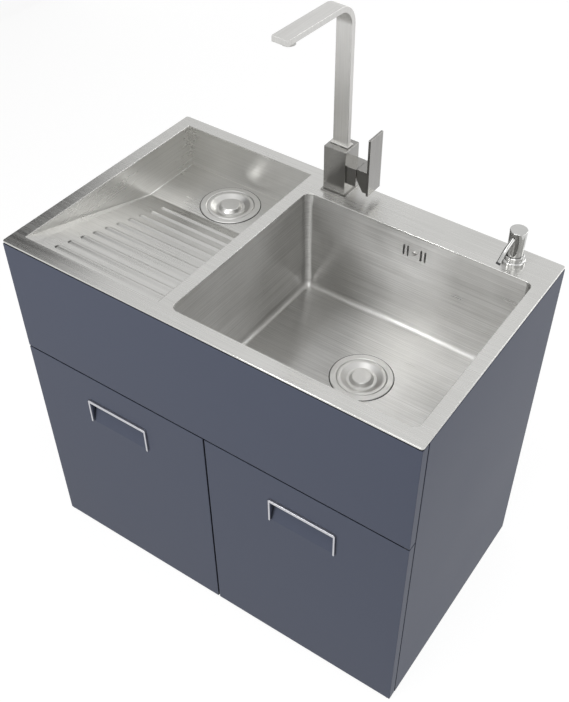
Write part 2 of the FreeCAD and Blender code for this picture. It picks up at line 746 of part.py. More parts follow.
def strainer_body(label, x, y, floor, inlet):
    seat = "cup_radius - cup_wall"
    cup = "cup_radius - cup_wall - seat_step"
    bore = "spigot_radius - spigot_wall"
    end = "-cup_deep - spigot_long"
    body = turned(
        [
            (seat, "flange_thick / 2"),
            (seat + " + flange_thick", "flange_thick"),
            ("flange_radius - flange_thick", "flange_thick"),
            ("flange_radius", "0"),
            ("cup_radius", "0"),
            ("cup_radius", "-cup_deep"),
            ("spigot_radius", "-cup_deep"),
            ("spigot_radius", end),
            (bore, end),
            (bore, "-cup_deep + cup_wall"),
            (cup, "-cup_deep + cup_wall"),
            (cup, "-seat_deep"),
            (seat, "-seat_deep"),
        ],
        x,
        y,
        floor,
    )
    if inlet:
        level = floor + " - inlet_drop"
        boss = along_y(
            "overflow_pipe_radius", x, (y + " + cup_radius - cup_wall", y + " + inlet_reach"), level
        )
        hole = along_y(
            "overflow_pipe_radius - overflow_wall", x, (y, y + " + inlet_reach + overrun"), level
        )
        body = cut(join(body, boss), hole)
    keep(label, body)


def strainer_ring(label, outer, inner, x, y, low, tall):
    keep(label, ring(outer, inner, x, y, (low, "%s + %s" % (low, tall))))


def basket(label, x, y, floor):
    rim = "cup_radius - cup_wall - basket_play"
    wall = "cup_radius - cup_wall - seat_step - basket_play"
    body = turned(
        [
            (wall + " - basket_sheet", "-seat_deep + basket_sheet"),
            (rim, "-seat_deep + basket_sheet"),
            (rim, "-seat_deep"),
            (wall, "-seat_deep"),
            (wall, "-seat_deep - basket_deep"),
            ("0", "-seat_deep - basket_deep"),
            ("0", "-seat_deep - basket_deep + basket_sheet"),
            (wall + " - basket_sheet", "-seat_deep - basket_deep + basket_sheet"),
        ],
        x,
        y,
        floor,
    )
    low = floor + " - seat_deep - basket_deep"
    holes = []
    for number in range(BASKET_HOLE_COUNT):
        angle = number * 2 * math.pi / BASKET_HOLE_COUNT
        holes.append(
            upright(
                "basket_hole",
                "%s + basket_ring * %.6f" % (x, math.cos(angle)),
                "%s + basket_ring * %.6f" % (y, math.sin(angle)),
                (low + " - overrun", low + " + overrun"),
            )
        )
    keep(label, cut(body, *holes))


def drain_cover(label, x, y, floor):
    low = "-seat_deep - basket_deep + basket_sheet"
    dish = "cover_rise - dish_drop"
    top = "cover_rise + knob_tall"
    body = turned(
        [
            ("0", low),
            ("cover_post", low),
            ("cover_post", dish + " - basket_sheet"),
            ("dish_radius", dish + " - basket_sheet"),
            ("cover_flat", "cover_rise - basket_sheet"),
            ("cover_radius", "cover_rise - basket_sheet"),
            ("cover_radius", "cover_rise - basket_sheet / 2"),
            ("cover_radius - basket_sheet / 2", "cover_rise"),
            ("cover_flat", "cover_rise"),
            ("dish_radius", dish),
            ("knob_foot", dish),
            ("knob_radius", top + " - knob_round"),
            ("knob_radius - knob_round", top),
            ("0", top),
        ],
        x,
        y,
        floor,
    )

    def is_bend(edge):
        bounds = edge.BoundBox
        height = size(floor) + size("cover_rise")
        return (
            abs(bounds.XLength - 2 * size("cover_flat")) < size("fit")
            and abs(bounds.ZMax - height) < size("fit")
        )

    keep(label, ease(body, "cover_round", is_bend))


def strainer(prefix, x, y, floor, inlet):
    strainer_body(prefix + "_strainer_body", x, y, floor, inlet)
    under = floor + " - sink_sheet - gasket_thick"
    strainer_ring(
        prefix + "_strainer_gasket", "flange_radius", "cup_radius + fit", x, y, under, "gasket_thick"
    )
    strainer_ring(
        prefix + "_strainer_nut",
        "flange_radius",
        "cup_radius + fit",
        x,
        y,
        under + " - nut_tall",
        "nut_tall",
    )
    basket(prefix + "_strainer_basket", x, y, floor)
    drain_cover(prefix + "_drain_cover", x, y, floor)


# Drain pipes


def tail_pipes():
    level = size("drain_level")
    drop = size("cup_deep") + size("spigot_long")
    end = size("junction_radius")
    main = [
        spot(size("main_x"), size("main_y"), size("bowl_floor") - drop),
        spot(size("main_x"), size("main_y"), level),
        spot(size("main_x"), size("tray_y") - end, level),
    ]
    tray = [
        spot(size("tray_x"), size("tray_y"), size("tray_floor") - drop),
        spot(size("tray_x"), size("tray_y"), level),
        spot(size("main_x") - end, size("tray_y"), level),
    ]
    for label, route in (("main_tail_pipe", main), ("tray_tail_pipe", tray)):
        tube = bent_tube(route, size("pipe_bend"), size("spigot_radius"), size("pipe_wall"))
        keep(label, solid(tube))


def slip_nuts():
    nuts = []
    for x, y, floor in (("main_x", "main_y", "bowl_floor"), ("tray_x", "tray_y", "tray_floor")):
        joint = floor + " - cup_deep - spigot_long"
        nuts.append(
            ring(
                "spigot_radius + fit + slip_nut_wall",
                "spigot_radius + fit",
                x,
                y,
                (joint + " - slip_nut_tall / 2", joint + " + slip_nut_tall / 2"),
            )
        )
    keep("slip_nuts", group(nuts))


def drain_junction():
    height = ("junction_low", "drain_level + junction_half")
    socket = "spigot_radius + fit + socket_wall"
    far = "junction_radius + socket_long"
    inside = "junction_radius - junction_wall"
    body = upright("junction_radius", "main_x", "tray_y", height)
    left = along_x(socket, ("main_x - (%s)" % far, "main_x"), "tray_y", "drain_level")
    front = along_y(socket, "main_x", ("tray_y - (%s)" % far, "tray_y"), "drain_level")
    dip = upright("dip_radius", "main_x", "tray_y", ("trap_low - cup_below + dip_above", "junction_low"))
    hollow = upright(
        inside, "main_x", "tray_y", (height[0] + " + junction_wall", height[1] + " - junction_wall")
    )
    left_bore = along_x(
        "spigot_radius + fit", ("main_x - (%s) - overrun" % far, "main_x"), "tray_y", "drain_level"
    )
    front_bore = along_y(
        "spigot_radius + fit", "main_x", ("tray_y - (%s) - overrun" % far, "tray_y"), "drain_level"
    )
    dip_bore = upright(
        "dip_radius - pipe_wall",
        "main_x",
        "tray_y",
        ("trap_low - cup_below + dip_above - overrun", "drain_level"),
    )
    keep("drain_junction", cut(join(body, left, front, dip), hollow, left_bore, front_bore, dip_bore))


def trap():
    neck = "outlet_radius - outlet_step"
    socket = neck + " + fit + socket_wall"
    far = "trap_radius + socket_long"
    body = upright("trap_radius", "main_x", "tray_y", ("trap_low", "junction_low"))
    arm = along_y(socket, "main_x", ("tray_y", "tray_y + %s" % far), "outlet_z")
    hollow = upright(
        "trap_radius - junction_wall", "main_x", "tray_y", ("trap_low - overrun", "junction_low + overrun")
    )
    bore = along_y(neck + " + fit", "main_x", ("tray_y", "tray_y + %s + overrun" % far), "outlet_z")
    keep("trap_body", cut(join(body, arm), hollow, bore))
    cup = turned(
        [
            ("0", "-cup_below"),
            ("trap_radius + fit + junction_wall", "-cup_below"),
            ("trap_radius + fit + junction_wall", "trap_lap"),
            ("trap_radius + fit", "trap_lap"),
            ("trap_radius + fit", "-cup_below + junction_wall"),
            ("0", "-cup_below + junction_wall"),
        ],
        "main_x",
        "tray_y",
        "trap_low",
    )
    keep("trap_cup", cup)
    root = "tray_y + trap_radius"
    shoulder = "tray_y + " + far
    end = "back_face - outlet_back"
    plug = along_y(neck, "main_x", (root, shoulder), "outlet_z")
    pipe = along_y("outlet_radius", "main_x", (shoulder, end), "outlet_z")
    bore = along_y(
        neck + " - pipe_wall", "main_x", (root + " - overrun", end + " + overrun"), "outlet_z"
    )
    keep("outlet_pipe", cut(join(plug, pipe), bore))


# Faucet


def faucet_base_plate():
    plate = box(
        ("faucet_x - plate_side / 2", "faucet_x + plate_side / 2"),
        ("faucet_y - plate_side / 2", "faucet_y + plate_side / 2"),
        ("deck_top", "deck_top + plate_thick"),
    )
    plate = ease(plate, "metal_ease", lambda edge: edge.BoundBox.ZMax > size("deck_top") + size("fit"))
    bore = upright(
        "shank_radius + fit", "faucet_x", "faucet_y", ("deck_top - overrun", "deck_top + 2 * overrun")
    )
    keep("faucet_base_plate", cut(plate, bore))


def faucet_body():
    foot = "deck_top + plate_thick"
    top = "deck_top + body_top"
    column = box(
        ("faucet_x - body_side / 2", "faucet_x + body_side / 2"),
        ("faucet_y - body_side / 2", "faucet_y + body_side / 2"),
        (foot, top),
    )
    valve = box(
        ("faucet_x + body_side / 2 - overrun", "valve_x"),
        ("faucet_y - valve_side / 2", "faucet_y + valve_side / 2"),
        ("valve_z - valve_side / 2", "valve_z + valve_side / 2"),
    )
    shank = upright("shank_radius", "faucet_x", "faucet_y", ("deck_top - shank_long", foot))
    pivot = upright(
        "spout_pivot + fit",
        "faucet_x",
        "faucet_y",
        (top + " - spout_pivot_long - turn_play", top + " + overrun"),
    )
    cartridge = along_x(
        "cartridge_radius + fit", ("valve_x - cartridge_long", "valve_x + overrun"), "faucet_y", "valve_z"
    )
    low = "deck_top - shank_long"
    inlets = [
        upright(
            "inlet_radius",
            "faucet_x %s inlet_apart / 2" % sign,
            "faucet_y",
            (low + " - overrun", low + " + inlet_deep"),
        )
        for sign in "-+"
    ]
    blocks = join(ease(column, "metal_ease"), ease(valve, "metal_ease"))
    keep("faucet_body", cut(join(blocks, shank), pivot, cartridge, *inlets))


def faucet_fixing():
    washer_low = "deck_under - washer_thick"
    washer = ring(
        "shank_nut_radius", "shank_radius + fit", "faucet_x", "faucet_y", (washer_low, "deck_under")
    )
    keep("faucet_washer", washer)
    nut = ring(
        "shank_nut_radius",
        "shank_radius + fit",
        "faucet_x",
        "faucet_y",
        (washer_low + " - shank_nut_tall", washer_low),
    )
    keep("faucet_nut", nut)


def valve_cartridge():
    body = along_x("cartridge_radius", ("valve_x - cartridge_long", "valve_x"), "faucet_y", "valve_z")
    bore = along_x(
        "stem_radius + fit", ("valve_x - stem_inside", "valve_x + overrun"), "faucet_y", "valve_z"
    )
    keep("valve_cartridge", cut(body, bore))


def spout_band(inset, foot, tip):
    """The spout's bent bar seen from the side, as a face across X, drawn in by an inset."""
    y = size("faucet_y")
    half = size("spout_thick") / 2 - inset
    top = size("deck_top") + size("spout_rise") - inset
    outer = size("spout_bend") - inset
    inner = size("spout_bend") - size("spout_thick") + inset
    x = size("faucet_x") - size("spout_wide") / 2 + inset
    centre = spot(x, y + half - outer, top - outer)
    diagonal = spot(0, 1, 1).normalize()
    back_low = spot(x, y + half, foot)
    back_bend = spot(x, y + half, centre.z)
    top_bend = spot(x, centre.y, top)
    top_tip = spot(x, tip, top)
    low_tip = spot(x, tip, centre.z + inner)
    low_bend = spot(x, centre.y, centre.z + inner)
    front_bend = spot(x, centre.y + inner, centre.z)
    front_low = spot(x, centre.y + inner, foot)
    edges = [
        Part.LineSegment(back_low, back_bend),
        Part.Arc(back_bend, centre + diagonal * outer, top_bend),
        Part.LineSegment(top_bend, top_tip),
        Part.LineSegment(top_tip, low_tip),
        Part.LineSegment(low_tip, low_bend),
        Part.Arc(low_bend, centre + diagonal * inner, front_bend),
        Part.LineSegment(front_bend, front_low),
        Part.LineSegment(front_low, back_low),
    ]
    face = Part.Face(Part.Wire([edge.toShape() for edge in edges]))
    return face.extrude(spot(size("spout_wide") - 2 * inset, 0, 0))


def spout():
    foot = size("deck_top") + size("body_top") + size("turn_play")
    top = size("deck_top") + size("spout_rise")
    tip = size("faucet_y") - size("spout_reach")
    wall = size("spout_wall")
    bar = spout_band(0, foot, tip)
    bar = bar.makeFillet(size("metal_ease"), [edge for edge in bar.Edges if edge.BoundBox.ZMin > foot])
    x = size("faucet_x")
    y = size("faucet_y")
    half_wide = size("spout_foot_wide") / 2
    half_deep = size("spout_foot_deep") / 2
    flange = block(
        (x - half_wide, x + half_wide),
        (y - half_deep, y + half_deep),
        (foot, foot + size("spout_foot_thick")),
    )
    flange = flange.makeFillet(size("metal_ease"), flange.Edges)
    pivot_long = size("spout_pivot_long")
    pivot = Part.makeCylinder(size("spout_pivot"), pivot_long, spot(x, y, foot - pivot_long))
    channel = spout_band(wall, foot - size("overrun"), tip + wall)
    water = Part.makeCylinder(
        size("spout_thick") / 2 - wall, pivot_long + size("overrun"), spot(x, y, foot - pivot_long)
    )
    mouth = Part.makeCylinder(
        size("aerator_radius") - wall,
        size("spout_thick") / 2,
        spot(x, tip + size("aerator_in"), top - size("spout_thick")),
    )
    inside = channel.common(block((x - half_wide, x + half_wide), (tip, y + half_deep), (foot, top)))
    shape = bar.fuse([flange, pivot]).cut(inside.fuse([water, mouth])).removeSplitter()
    shape.rotate(spot(x, y, 0), spot(0, 0, 1), -size("spout_turn"))
    keep("spout", solid(shape))


def aerator():
    top = "spout_rise - spout_thick"
    body = ring(
        "aerator_radius",
        "aerator_radius - spout_wall",
        "aerator_x",
        "aerator_y",
        ("deck_top + %s - aerator_tall" % top, "deck_top + %s" % top),
    )
    keep("aerator", body)


def lever_stem():
    rod = along_x("stem_radius", ("valve_x - stem_inside", "pin_x"), "faucet_y", "valve_z")
    eye = along_y("eye_radius", "pin_x", ("faucet_y - eye_half", "faucet_y + eye_half"), "valve_z")
    through = ("faucet_y - eye_half - overrun", "faucet_y + eye_half + overrun")
    hole = along_y("pin_radius + fit", "pin_x", through, "valve_z")
    keep("lever_stem", cut(join(rod, eye), hole))


def lever_pin():
    half = "(lever_wide / 2 - overrun)"
    keep(
        "lever_pin",
        along_y("pin_radius", "pin_x", ("faucet_y - " + half, "faucet_y + " + half), "valve_z"),
    )


def lever():
    end = "lever_x + lever_long"
    body = box(
        ("lever_x", end),
        ("faucet_y - lever_wide / 2", "faucet_y + lever_wide / 2"),
        ("valve_z - lever_down", "valve_z + lever_up"),
    )
    bevel = padded(
        "XZ_Plane",
        [
            ("-overrun", "-lever_bevel_drop"),
            ("0", "-lever_bevel_drop"),
            ("lever_bevel", "-lever_down"),
            ("lever_bevel", "-lever_down - overrun"),
            ("-overrun", "-lever_down - overrun"),
        ],
        "lever_wide + 2 * overrun",
        "lever_x",
        "faucet_y + lever_wide / 2 + overrun",
        "valve_z",
    )
    paddle = box(
        (end + " - paddle_thick", end),
        ("faucet_y - paddle_wide / 2", "faucet_y + paddle_wide / 2"),
        ("valve_z - paddle_down", "valve_z + paddle_up"),
    )
    pocket = box(
        ("lever_x - overrun", "pin_x + pocket_end"),
        ("faucet_y - pocket_half_wide", "faucet_y + pocket_half_wide"),
        ("valve_z - pocket_half_tall", "valve_z + pocket_half_tall"),
    )
    half = "(lever_wide / 2 - overrun + fit)"
    hole = along_y("pin_radius + fit", "pin_x", ("faucet_y - " + half, "faucet_y + " + half), "valve_z")
    body = ease(cut(body, bevel), "metal_ease")
    keep("lever", cut(join(body, ease(paddle, "metal_ease")), pocket, hole))


# Soap dispenser


def dispenser_collar():
    shift = "-tail_long"
    body = turned(
        [
            ("neck_bore", "neck_top"),
            ("neck_radius - metal_ease", "neck_top"),
            ("neck_radius", "neck_top - metal_ease"),
            ("neck_radius", "collar_thick"),
            ("collar_radius", "collar_thick"),
            ("collar_radius", "0"),
            ("tail_radius", "0"),
            ("tail_radius", shift),
            ("pump_radius + fit", shift),
            ("pump_radius + fit", "neck_top - neck_bore_deep"),
            ("neck_bore", "neck_top - neck_bore_deep"),
        ],
        "dispenser_x",
        "dispenser_y",
        "deck_top",
    )
    top = at_height("collar_top")

    def is_rim(edge):
        return top(edge) and edge.BoundBox.XLength > 2 * size("neck_radius") + size("fit")

    keep("dispenser_collar", ease(body, "collar_round", is_rim))


def dispenser_fixing():
    washer_low = "deck_under - washer_thick"
    spot_formulas = ("dispenser_x", "dispenser_y")
    washer = ring("tail_nut_radius", "tail_radius + fit", *spot_formulas, (washer_low, "deck_under"))
    keep("dispenser_washer", washer)
    nut = ring(
        "tail_nut_radius",
        "tail_radius + fit",
        *spot_formulas,
        (washer_low + " - tail_nut_tall", washer_low),
    )
    keep("dispenser_nut", nut)


def pump_barrel():
    top = "neck_top - neck_bore_deep"
    low = "-tail_long - pump_long"
    bore = "pump_radius - pump_wall"
    body = turned(
        [
            ("stem_bore + fit", top),
            ("pump_radius", top),
            ("pump_radius", low),
            ("stem_bore", low),
            ("stem_bore", low + " + pump_wall"),
            (bore, low + " + pump_wall"),
            (bore, top + " - pump_wall"),
            ("stem_bore + fit", top + " - pump_wall"),
        ],
        "dispenser_x",
        "dispenser_y",
        "deck_top",
    )
    keep("pump_barrel", body)


def pump_stem():
    low = "deck_top - stem_down"
    rod = upright("stem_bore", "dispenser_x", "dispenser_y", (low, "deck_top + head_foot + stem_up"))
    piston = upright("piston_radius", "dispenser_x", "dispenser_y", (low, low + " + piston_tall"))
    keep("pump_stem", join(rod, piston))


def pump_spring():
    low = "deck_top - tail_long - pump_long + pump_wall"
    body = ring(
        "piston_radius", "stem_bore", "dispenser_x", "dispenser_y", (low, "deck_top - stem_down")
    )
    keep("pump_spring", body)


def dispenser_bottle():
    top = "0"
    neck = "tail_radius + fit"
    outer = "bottle_radius"
    body = turned(
        [
            (neck, top),
            (neck + " + bottle_wall", top),
            (neck + " + bottle_wall", "-bottle_neck_long"),
            (outer, "-bottle_neck_long - bottle_shoulder"),
            (outer, "-bottle_long"),
            ("0", "-bottle_long"),
            ("0", "-bottle_long + bottle_wall"),
            (outer + " - bottle_wall", "-bottle_long + bottle_wall"),
            (outer + " - bottle_wall", "-bottle_neck_long - bottle_shoulder - bottle_wall"),
            (neck, "-bottle_neck_long - bottle_wall"),
        ],
        "dispenser_x",
        "dispenser_y",
        "tail_end + bottle_neck_long",
    )
    keep("dispenser_bottle", body)


def dispenser_head():
    x = size("dispenser_x")
    y = size("dispenser_y")
    deck = size("deck_top")
    foot = size("head_foot")
    foot_radius = size("head_foot_radius")
    skirt_top = size("neck_top") + size("press_travel")
    skirt = Part.makeCylinder(foot_radius, skirt_top - foot, spot(x, y, deck + foot))
    cone_tall = size("head_top") - skirt_top
    cone = Part.makeCone(foot_radius, size("head_top_radius"), cone_tall, spot(x, y, deck + skirt_top))
    top_edges = [edge for edge in cone.Edges if edge.BoundBox.ZMin > deck + size("nozzle_root")]
    head = cone.makeFillet(size("head_round"), top_edges).fuse(skirt)
    aside_share = size("nozzle_aside") / size("nozzle_tip_out")

    def on_nozzle(out, up):
        return spot(x - out * aside_share, y - out, deck + up)

    route = [
        on_nozzle(0, size("nozzle_root")),
        on_nozzle(size("nozzle_out"), size("nozzle_rise")),
        on_nozzle(size("nozzle_tip_out"), size("nozzle_tip")),
    ]
    nozzle = bent_rod(route, size("nozzle_bend"), size("nozzle_radius"))
    head = head.fuse(nozzle)
    head = head.cut(bent_rod(route, size("nozzle_bend"), size("nozzle_bore")))
    socket = Part.makeCylinder(size("stem_bore") + size("fit"), size("stem_up"), spot(x, y, deck + foot))
    keep("dispenser_head", solid(head.cut(socket).removeSplitter()))


# Carcass


def side_panel(name, side):
    ends = ("-half_width", "-inner_half") if side < 0 else ("inner_half", "half_width")
    panel = box(ends, ("carcass_front", "back_face"), ("base_gap", "carcass_top"))
    keep(name + "_side_panel", cut(ease(panel, "edge_ease"), *bracket_holes(side, "side")))


def bottom_panel():
    panel = box(("-inner_half", "inner_half"), ("carcass_front", "back_inner"), ("floor_low", "floor_top"))
    keep("bottom_panel", panel)


def wall_holes():
    reach = ("back_inner - rail_thick - overrun", "back_face + overrun")
    return [
        along_y("wall_hole", "%swall_hole_x" % sign, reach, "wall_hole_z") for sign in ("-", "")
    ]


def back_panel():
    panel = box(("-inner_half", "inner_half"), ("back_inner", "back_face"), ("floor_low", "carcass_top"))
    service = box(
        ("main_x - service_reach", "inner_half - service_margin"),
        ("back_inner - overrun", "back_face + overrun"),
        ("service_low", "rail_low - service_drop"),
    )
    keep("back_panel", cut(panel, service, *wall_holes()))


def wall_rail():
    rail = box(
        ("-inner_half", "inner_half"),
        ("back_inner - rail_thick", "back_inner"),
        ("rail_low", "rail_low + rail_tall"),
    )
    keep("wall_rail", cut(rail, *wall_holes()))


def glides():
    pads = []
    for x in ("-half_width + glide_side", "half_width - glide_side"):
        for y in ("carcass_front + glide_end", "back_inner - glide_end"):
            pads.append(
                turned(
                    [
                        ("0", "0"),
                        ("glide_radius - glide_chamfer", "0"),
                        ("glide_radius", "glide_chamfer"),
                        ("glide_radius", "floor_low"),
                        ("0", "floor_low"),
                    ],
                    x,
                    y,
                    "0",
                )
            )
    keep("glides", group(pads))


# Fascia and its brackets


def bracket_levels():
    """Lower edges of the two brackets on each side."""
    return ("fascia_low + bracket_edge", "carcass_top - bracket_drop")


def bracket_holes(side, board):
    """Pilot holes for the screws of one side, in the fascia or in the side panel."""
    holes = []
    sign = "-" if side < 0 else ""
    for level in bracket_levels():
        z = level + " + bracket_tall / 2"
        if board == "fascia":
            x = "%s(inner_half - screw_in)" % sign
            reach = ("front_inner - screw_long - fit", "front_inner + bracket_sheet + overrun")
            holes.append(along_y("screw_radius + fit", x, reach, z))
        else:
            near = "inner_half - bracket_sheet - overrun"
            far = "inner_half + screw_long + fit"
            reach = (near, far) if side > 0 else ("-(%s)" % far, "-(%s)" % near)
            y = "front_inner + bracket_sheet + screw_in"
            holes.append(along_x("screw_radius + fit", reach, y, z))
    return holes


def front_fascia():
    panel = box(("-half_width", "half_width"), ("front_face", "front_inner"), ("fascia_low", "carcass_top"))
    holes = bracket_holes(-1, "fascia") + bracket_holes(1, "fascia")
    keep("front_fascia", cut(ease(panel, "edge_ease"), *holes))


def fascia_brackets():
    brackets = []
    for side in SIDES.values():
        for level in bracket_levels():
            height = (level, level + " + bracket_tall")
            near, far = "inner_half - bracket_wide", "inner_half"
            thin = "inner_half - bracket_sheet"
            leg_x = (near, far) if side > 0 else ("-inner_half", "-(%s)" % near)
            wing_x = (thin, far) if side > 0 else ("-inner_half", "-(%s)" % thin)
            leg = box(leg_x, ("front_inner", "front_inner + bracket_sheet"), height)
            wing = box(wing_x, ("front_inner", "front_inner + bracket_deep"), height)
            holes = bracket_holes(side, "fascia") + bracket_holes(side, "side")
            brackets.append(cut(join(leg, wing), *holes))
    keep("fascia_brackets", group(brackets))


def fascia_screws():
    screws = []
    for side in SIDES.values():
        sign = "-" if side < 0 else ""
        for level in bracket_levels():
            z = level + " + bracket_tall / 2"
            x = "%s(inner_half - screw_in)" % sign
            seat = "front_inner + bracket_sheet"
            shank = along_y("screw_radius", x, ("front_inner - screw_long", seat), z)
            head = along_y("screw_head", x, (seat, seat + " + screw_head_tall"), z)
            screws.append(join(shank, head))
            y = "front_inner + bracket_sheet + screw_in"
            seat = "inner_half - bracket_sheet"
            far = "inner_half + screw_long"
            near = seat + " - screw_head_tall"
            shank_x = (seat, far) if side > 0 else ("-(%s)" % far, "-(%s)" % seat)
            head_x = (near, seat) if side > 0 else ("-(%s)" % seat, "-(%s)" % near)
            screws.append(join(along_x("screw_radius", shank_x, y, z), along_x("screw_head", head_x, y, z)))
    keep("fascia_screws", group(screws))


# Doors, pulls and hinges


def door(name, side):
    ends = ("-half_width", "-reveal / 2") if side < 0 else ("reveal / 2", "half_width")
    panel = ease(box(ends, ("front_face", "front_inner"), ("door_low", "door_top")), "edge_ease")
    sign = "-" if side < 0 else ""
    recess = padded(
        "YZ_Plane",
        [
            ("-overrun", "0"),
            ("0", "0"),
            ("pull_deep", "pull_tall"),
            ("-overrun", "pull_tall"),
        ],
        "pull_wide",
        "%spull_mid - pull_wide / 2" % sign,
        "front_face",
        "pull_low",
    )
    x = "%shinge_x" % sign
    low = upright(
        "bush_radius + fit", x, "hinge_y", ("door_low - overrun", "door_low + hinge_pin_long + fit")
    )
    high = upright(
        "bush_radius + fit", x, "hinge_y", ("door_top - hinge_pin_long - fit", "door_top + overrun")
    )
    keep(name + "_door", cut(panel, recess, low, high))


def pull_trim(name, side):
    sign = "-" if side < 0 else ""
    inner = "pull_wide / 2"
    outer = "(pull_wide / 2 + trim_side)"
    top = "pull_tall + trim_top"
    bar = padded(
        "XZ_Plane",
        [
            ("-%s" % outer, "0"),
            ("-%s" % inner, "0"),
            ("-%s" % inner, "pull_tall"),
            (inner, "pull_tall"),
            (inner, "0"),
            (outer, "0"),
            (outer, top + " - trim_corner"),
            (outer + " - trim_corner", top),
            ("-%s + trim_corner" % outer, top),
            ("-%s" % outer, top + " - trim_corner"),
        ],
        "trim_proud",
        "%spull_mid" % sign,
        "front_face",
        "pull_low",
    )
    bar = ease(bar, "metal_ease", lambda edge: edge.BoundBox.YMin < size("front_face") - size("fit"))
    keep(name + "_pull_trim", bar)


def hinge_plates(name, side):
    """The lower plate runs under the bottom panel, the upper one lies under the fascia."""
    sign = "-" if side < 0 else ""
    edge = "half_width - hinge_margin"
    inner = "half_width - hinge_margin - hinge_long"

    def across(near, far):
        return (near, far) if side > 0 else ("-(%s)" % far, "-(%s)" % near)

    x = "%shinge_x" % sign
    low_z = ("base_gap", "floor_low")
    front = box(across(inner, edge), ("front_face + hinge_margin", "carcass_front - fit"), low_z)
    tongue = box(
        across(inner, "inner_half - fit"),
        ("front_face + hinge_margin", "carcass_front + hinge_tongue"),
        low_z,
    )
    low_pin = upright("hinge_pin", x, "hinge_y", ("floor_low", "door_low + hinge_pin_long"))
    lower = join(front, tongue, low_pin)
    high_z = ("fascia_low - hinge_leaf", "fascia_low")
    plate = box(across(inner, edge), ("front_face + hinge_margin", "front_inner"), high_z)
    high_pin = upright("hinge_pin", x, "hinge_y", ("door_top - hinge_pin_long", "fascia_low - hinge_leaf"))
    keep(name + "_hinge_plates", group([lower, join(plate, high_pin)]))


def door_bushes(name, side):
    """Flanged bushes: the lower flange carries the door, the upper one has a gap."""
    x = "-hinge_x" if side < 0 else "hinge_x"
    outer = "bush_radius"
    inner = "hinge_pin + fit"
    flange = "bush_radius + bush_flange"
    low = turned(
        [
            (inner, "0"),
            (flange, "0"),
            (flange, "hinge_play"),
            (outer, "hinge_play"),
            (outer, "hinge_play + hinge_pin_long"),
            (inner, "hinge_play + hinge_pin_long"),
        ],
        x,
        "hinge_y",
        "floor_low",
    )
    rise = "(reveal - hinge_leaf - bush_gap)"
    high = turned(
        [
            (inner, rise),
            (inner, "-hinge_pin_long"),
            (outer, "-hinge_pin_long"),
            (outer, "0"),
            (flange, "0"),
            (flange, rise),
        ],
        x,
        "hinge_y",
        "door_top",
    )
    keep(name + "_door_bushes", group([low, high]))


def door_bumpers():
    bumpers = [
        along_y(
            "bumper_radius",
            "%sbumper_side" % sign,
            ("front_inner", "carcass_front"),
            "floor_low + board / 2",
        )
        for sign in ("-", "")
    ]
    keep("door_bumpers", group(bumpers))


def build():
    sink_deck()
    deck_seal()
    main_bowl()
    washboard_tray()
    overflow_box()
    overflow_screw()
    overflow_pipe()
    strainer("main", "main_x", "main_y", "bowl_floor", True)
    strainer("tray", "tray_x", "tray_y", "tray_floor", False)
    tail_pipes()
    slip_nuts()
    drain_junction()
    trap()
    faucet_base_plate()
    faucet_body()
    faucet_fixing()
    valve_cartridge()
    spout()
    aerator()
    lever_stem()
    lever_pin()
    lever()
    dispenser_collar()
    dispenser_fixing()
    pump_barrel()
    pump_stem()
    pump_spring()
    dispenser_bottle()
    dispenser_head()
    bottom_panel()
    back_panel()
    wall_rail()
    glides()
    front_fascia()
    fascia_brackets()
    fascia_screws()
    door_bumpers()
    for name, side in SIDES.items():
        side_panel(name, side)
        door(name, side)
        pull_trim(name, side)
        hinge_plates(name, side)
        door_bushes(name, side)
    DOC.recompute()


def check():
    failed = [item.Label for item in DOC.Objects if {"Invalid", "Error"} & set(item.State)]
    failed += [item.Label for item in PARTS if item.Shape.isNull() or not item.Shape.isValid()]
    if failed:
        raise RuntimeError("failed objects: " + ", ".join(failed))


def export():
    os.makedirs("parts", exist_ok=True)
    for item in PARTS:
        item.Shape.exportStep(os.path.join("parts", item.Label + ".step"))
        print(item.Label, len(item.Shape.Solids), round(item.Shape.Volume))


fill_sheet()
build()
check()
export()
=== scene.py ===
import json
import math

import bmesh
import bpy
from mathutils import Euler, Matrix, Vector


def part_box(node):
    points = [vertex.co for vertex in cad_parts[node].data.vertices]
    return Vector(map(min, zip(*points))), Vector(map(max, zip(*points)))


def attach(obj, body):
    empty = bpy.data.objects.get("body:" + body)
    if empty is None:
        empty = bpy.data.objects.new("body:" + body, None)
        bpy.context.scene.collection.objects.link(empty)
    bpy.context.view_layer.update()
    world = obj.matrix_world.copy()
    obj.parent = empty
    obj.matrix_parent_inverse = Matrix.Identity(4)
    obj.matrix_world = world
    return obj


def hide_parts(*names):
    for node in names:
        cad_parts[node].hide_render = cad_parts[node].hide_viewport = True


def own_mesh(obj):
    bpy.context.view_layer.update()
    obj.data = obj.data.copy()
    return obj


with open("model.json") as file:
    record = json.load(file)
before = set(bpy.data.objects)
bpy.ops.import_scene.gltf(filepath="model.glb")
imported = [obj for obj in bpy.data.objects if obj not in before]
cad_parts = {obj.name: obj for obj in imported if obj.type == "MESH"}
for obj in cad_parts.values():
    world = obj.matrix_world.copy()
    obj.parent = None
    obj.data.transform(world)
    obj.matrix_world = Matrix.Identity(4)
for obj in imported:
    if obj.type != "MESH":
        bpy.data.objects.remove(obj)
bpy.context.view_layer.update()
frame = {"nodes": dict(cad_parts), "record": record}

# Utility sink cabinet, dressed over its CAD frame. Metres: X to the right, Y to the back, Z up.

NODES = frame["nodes"]
SCENE = bpy.context.scene
UP = (0.0, 0.0, 1.0)
WHITE = (1.0, 1.0, 1.0)
BLACK = (0.0, 0.0, 0.0)

# Camera, from the picture's frame in pixels, with its angles in degrees

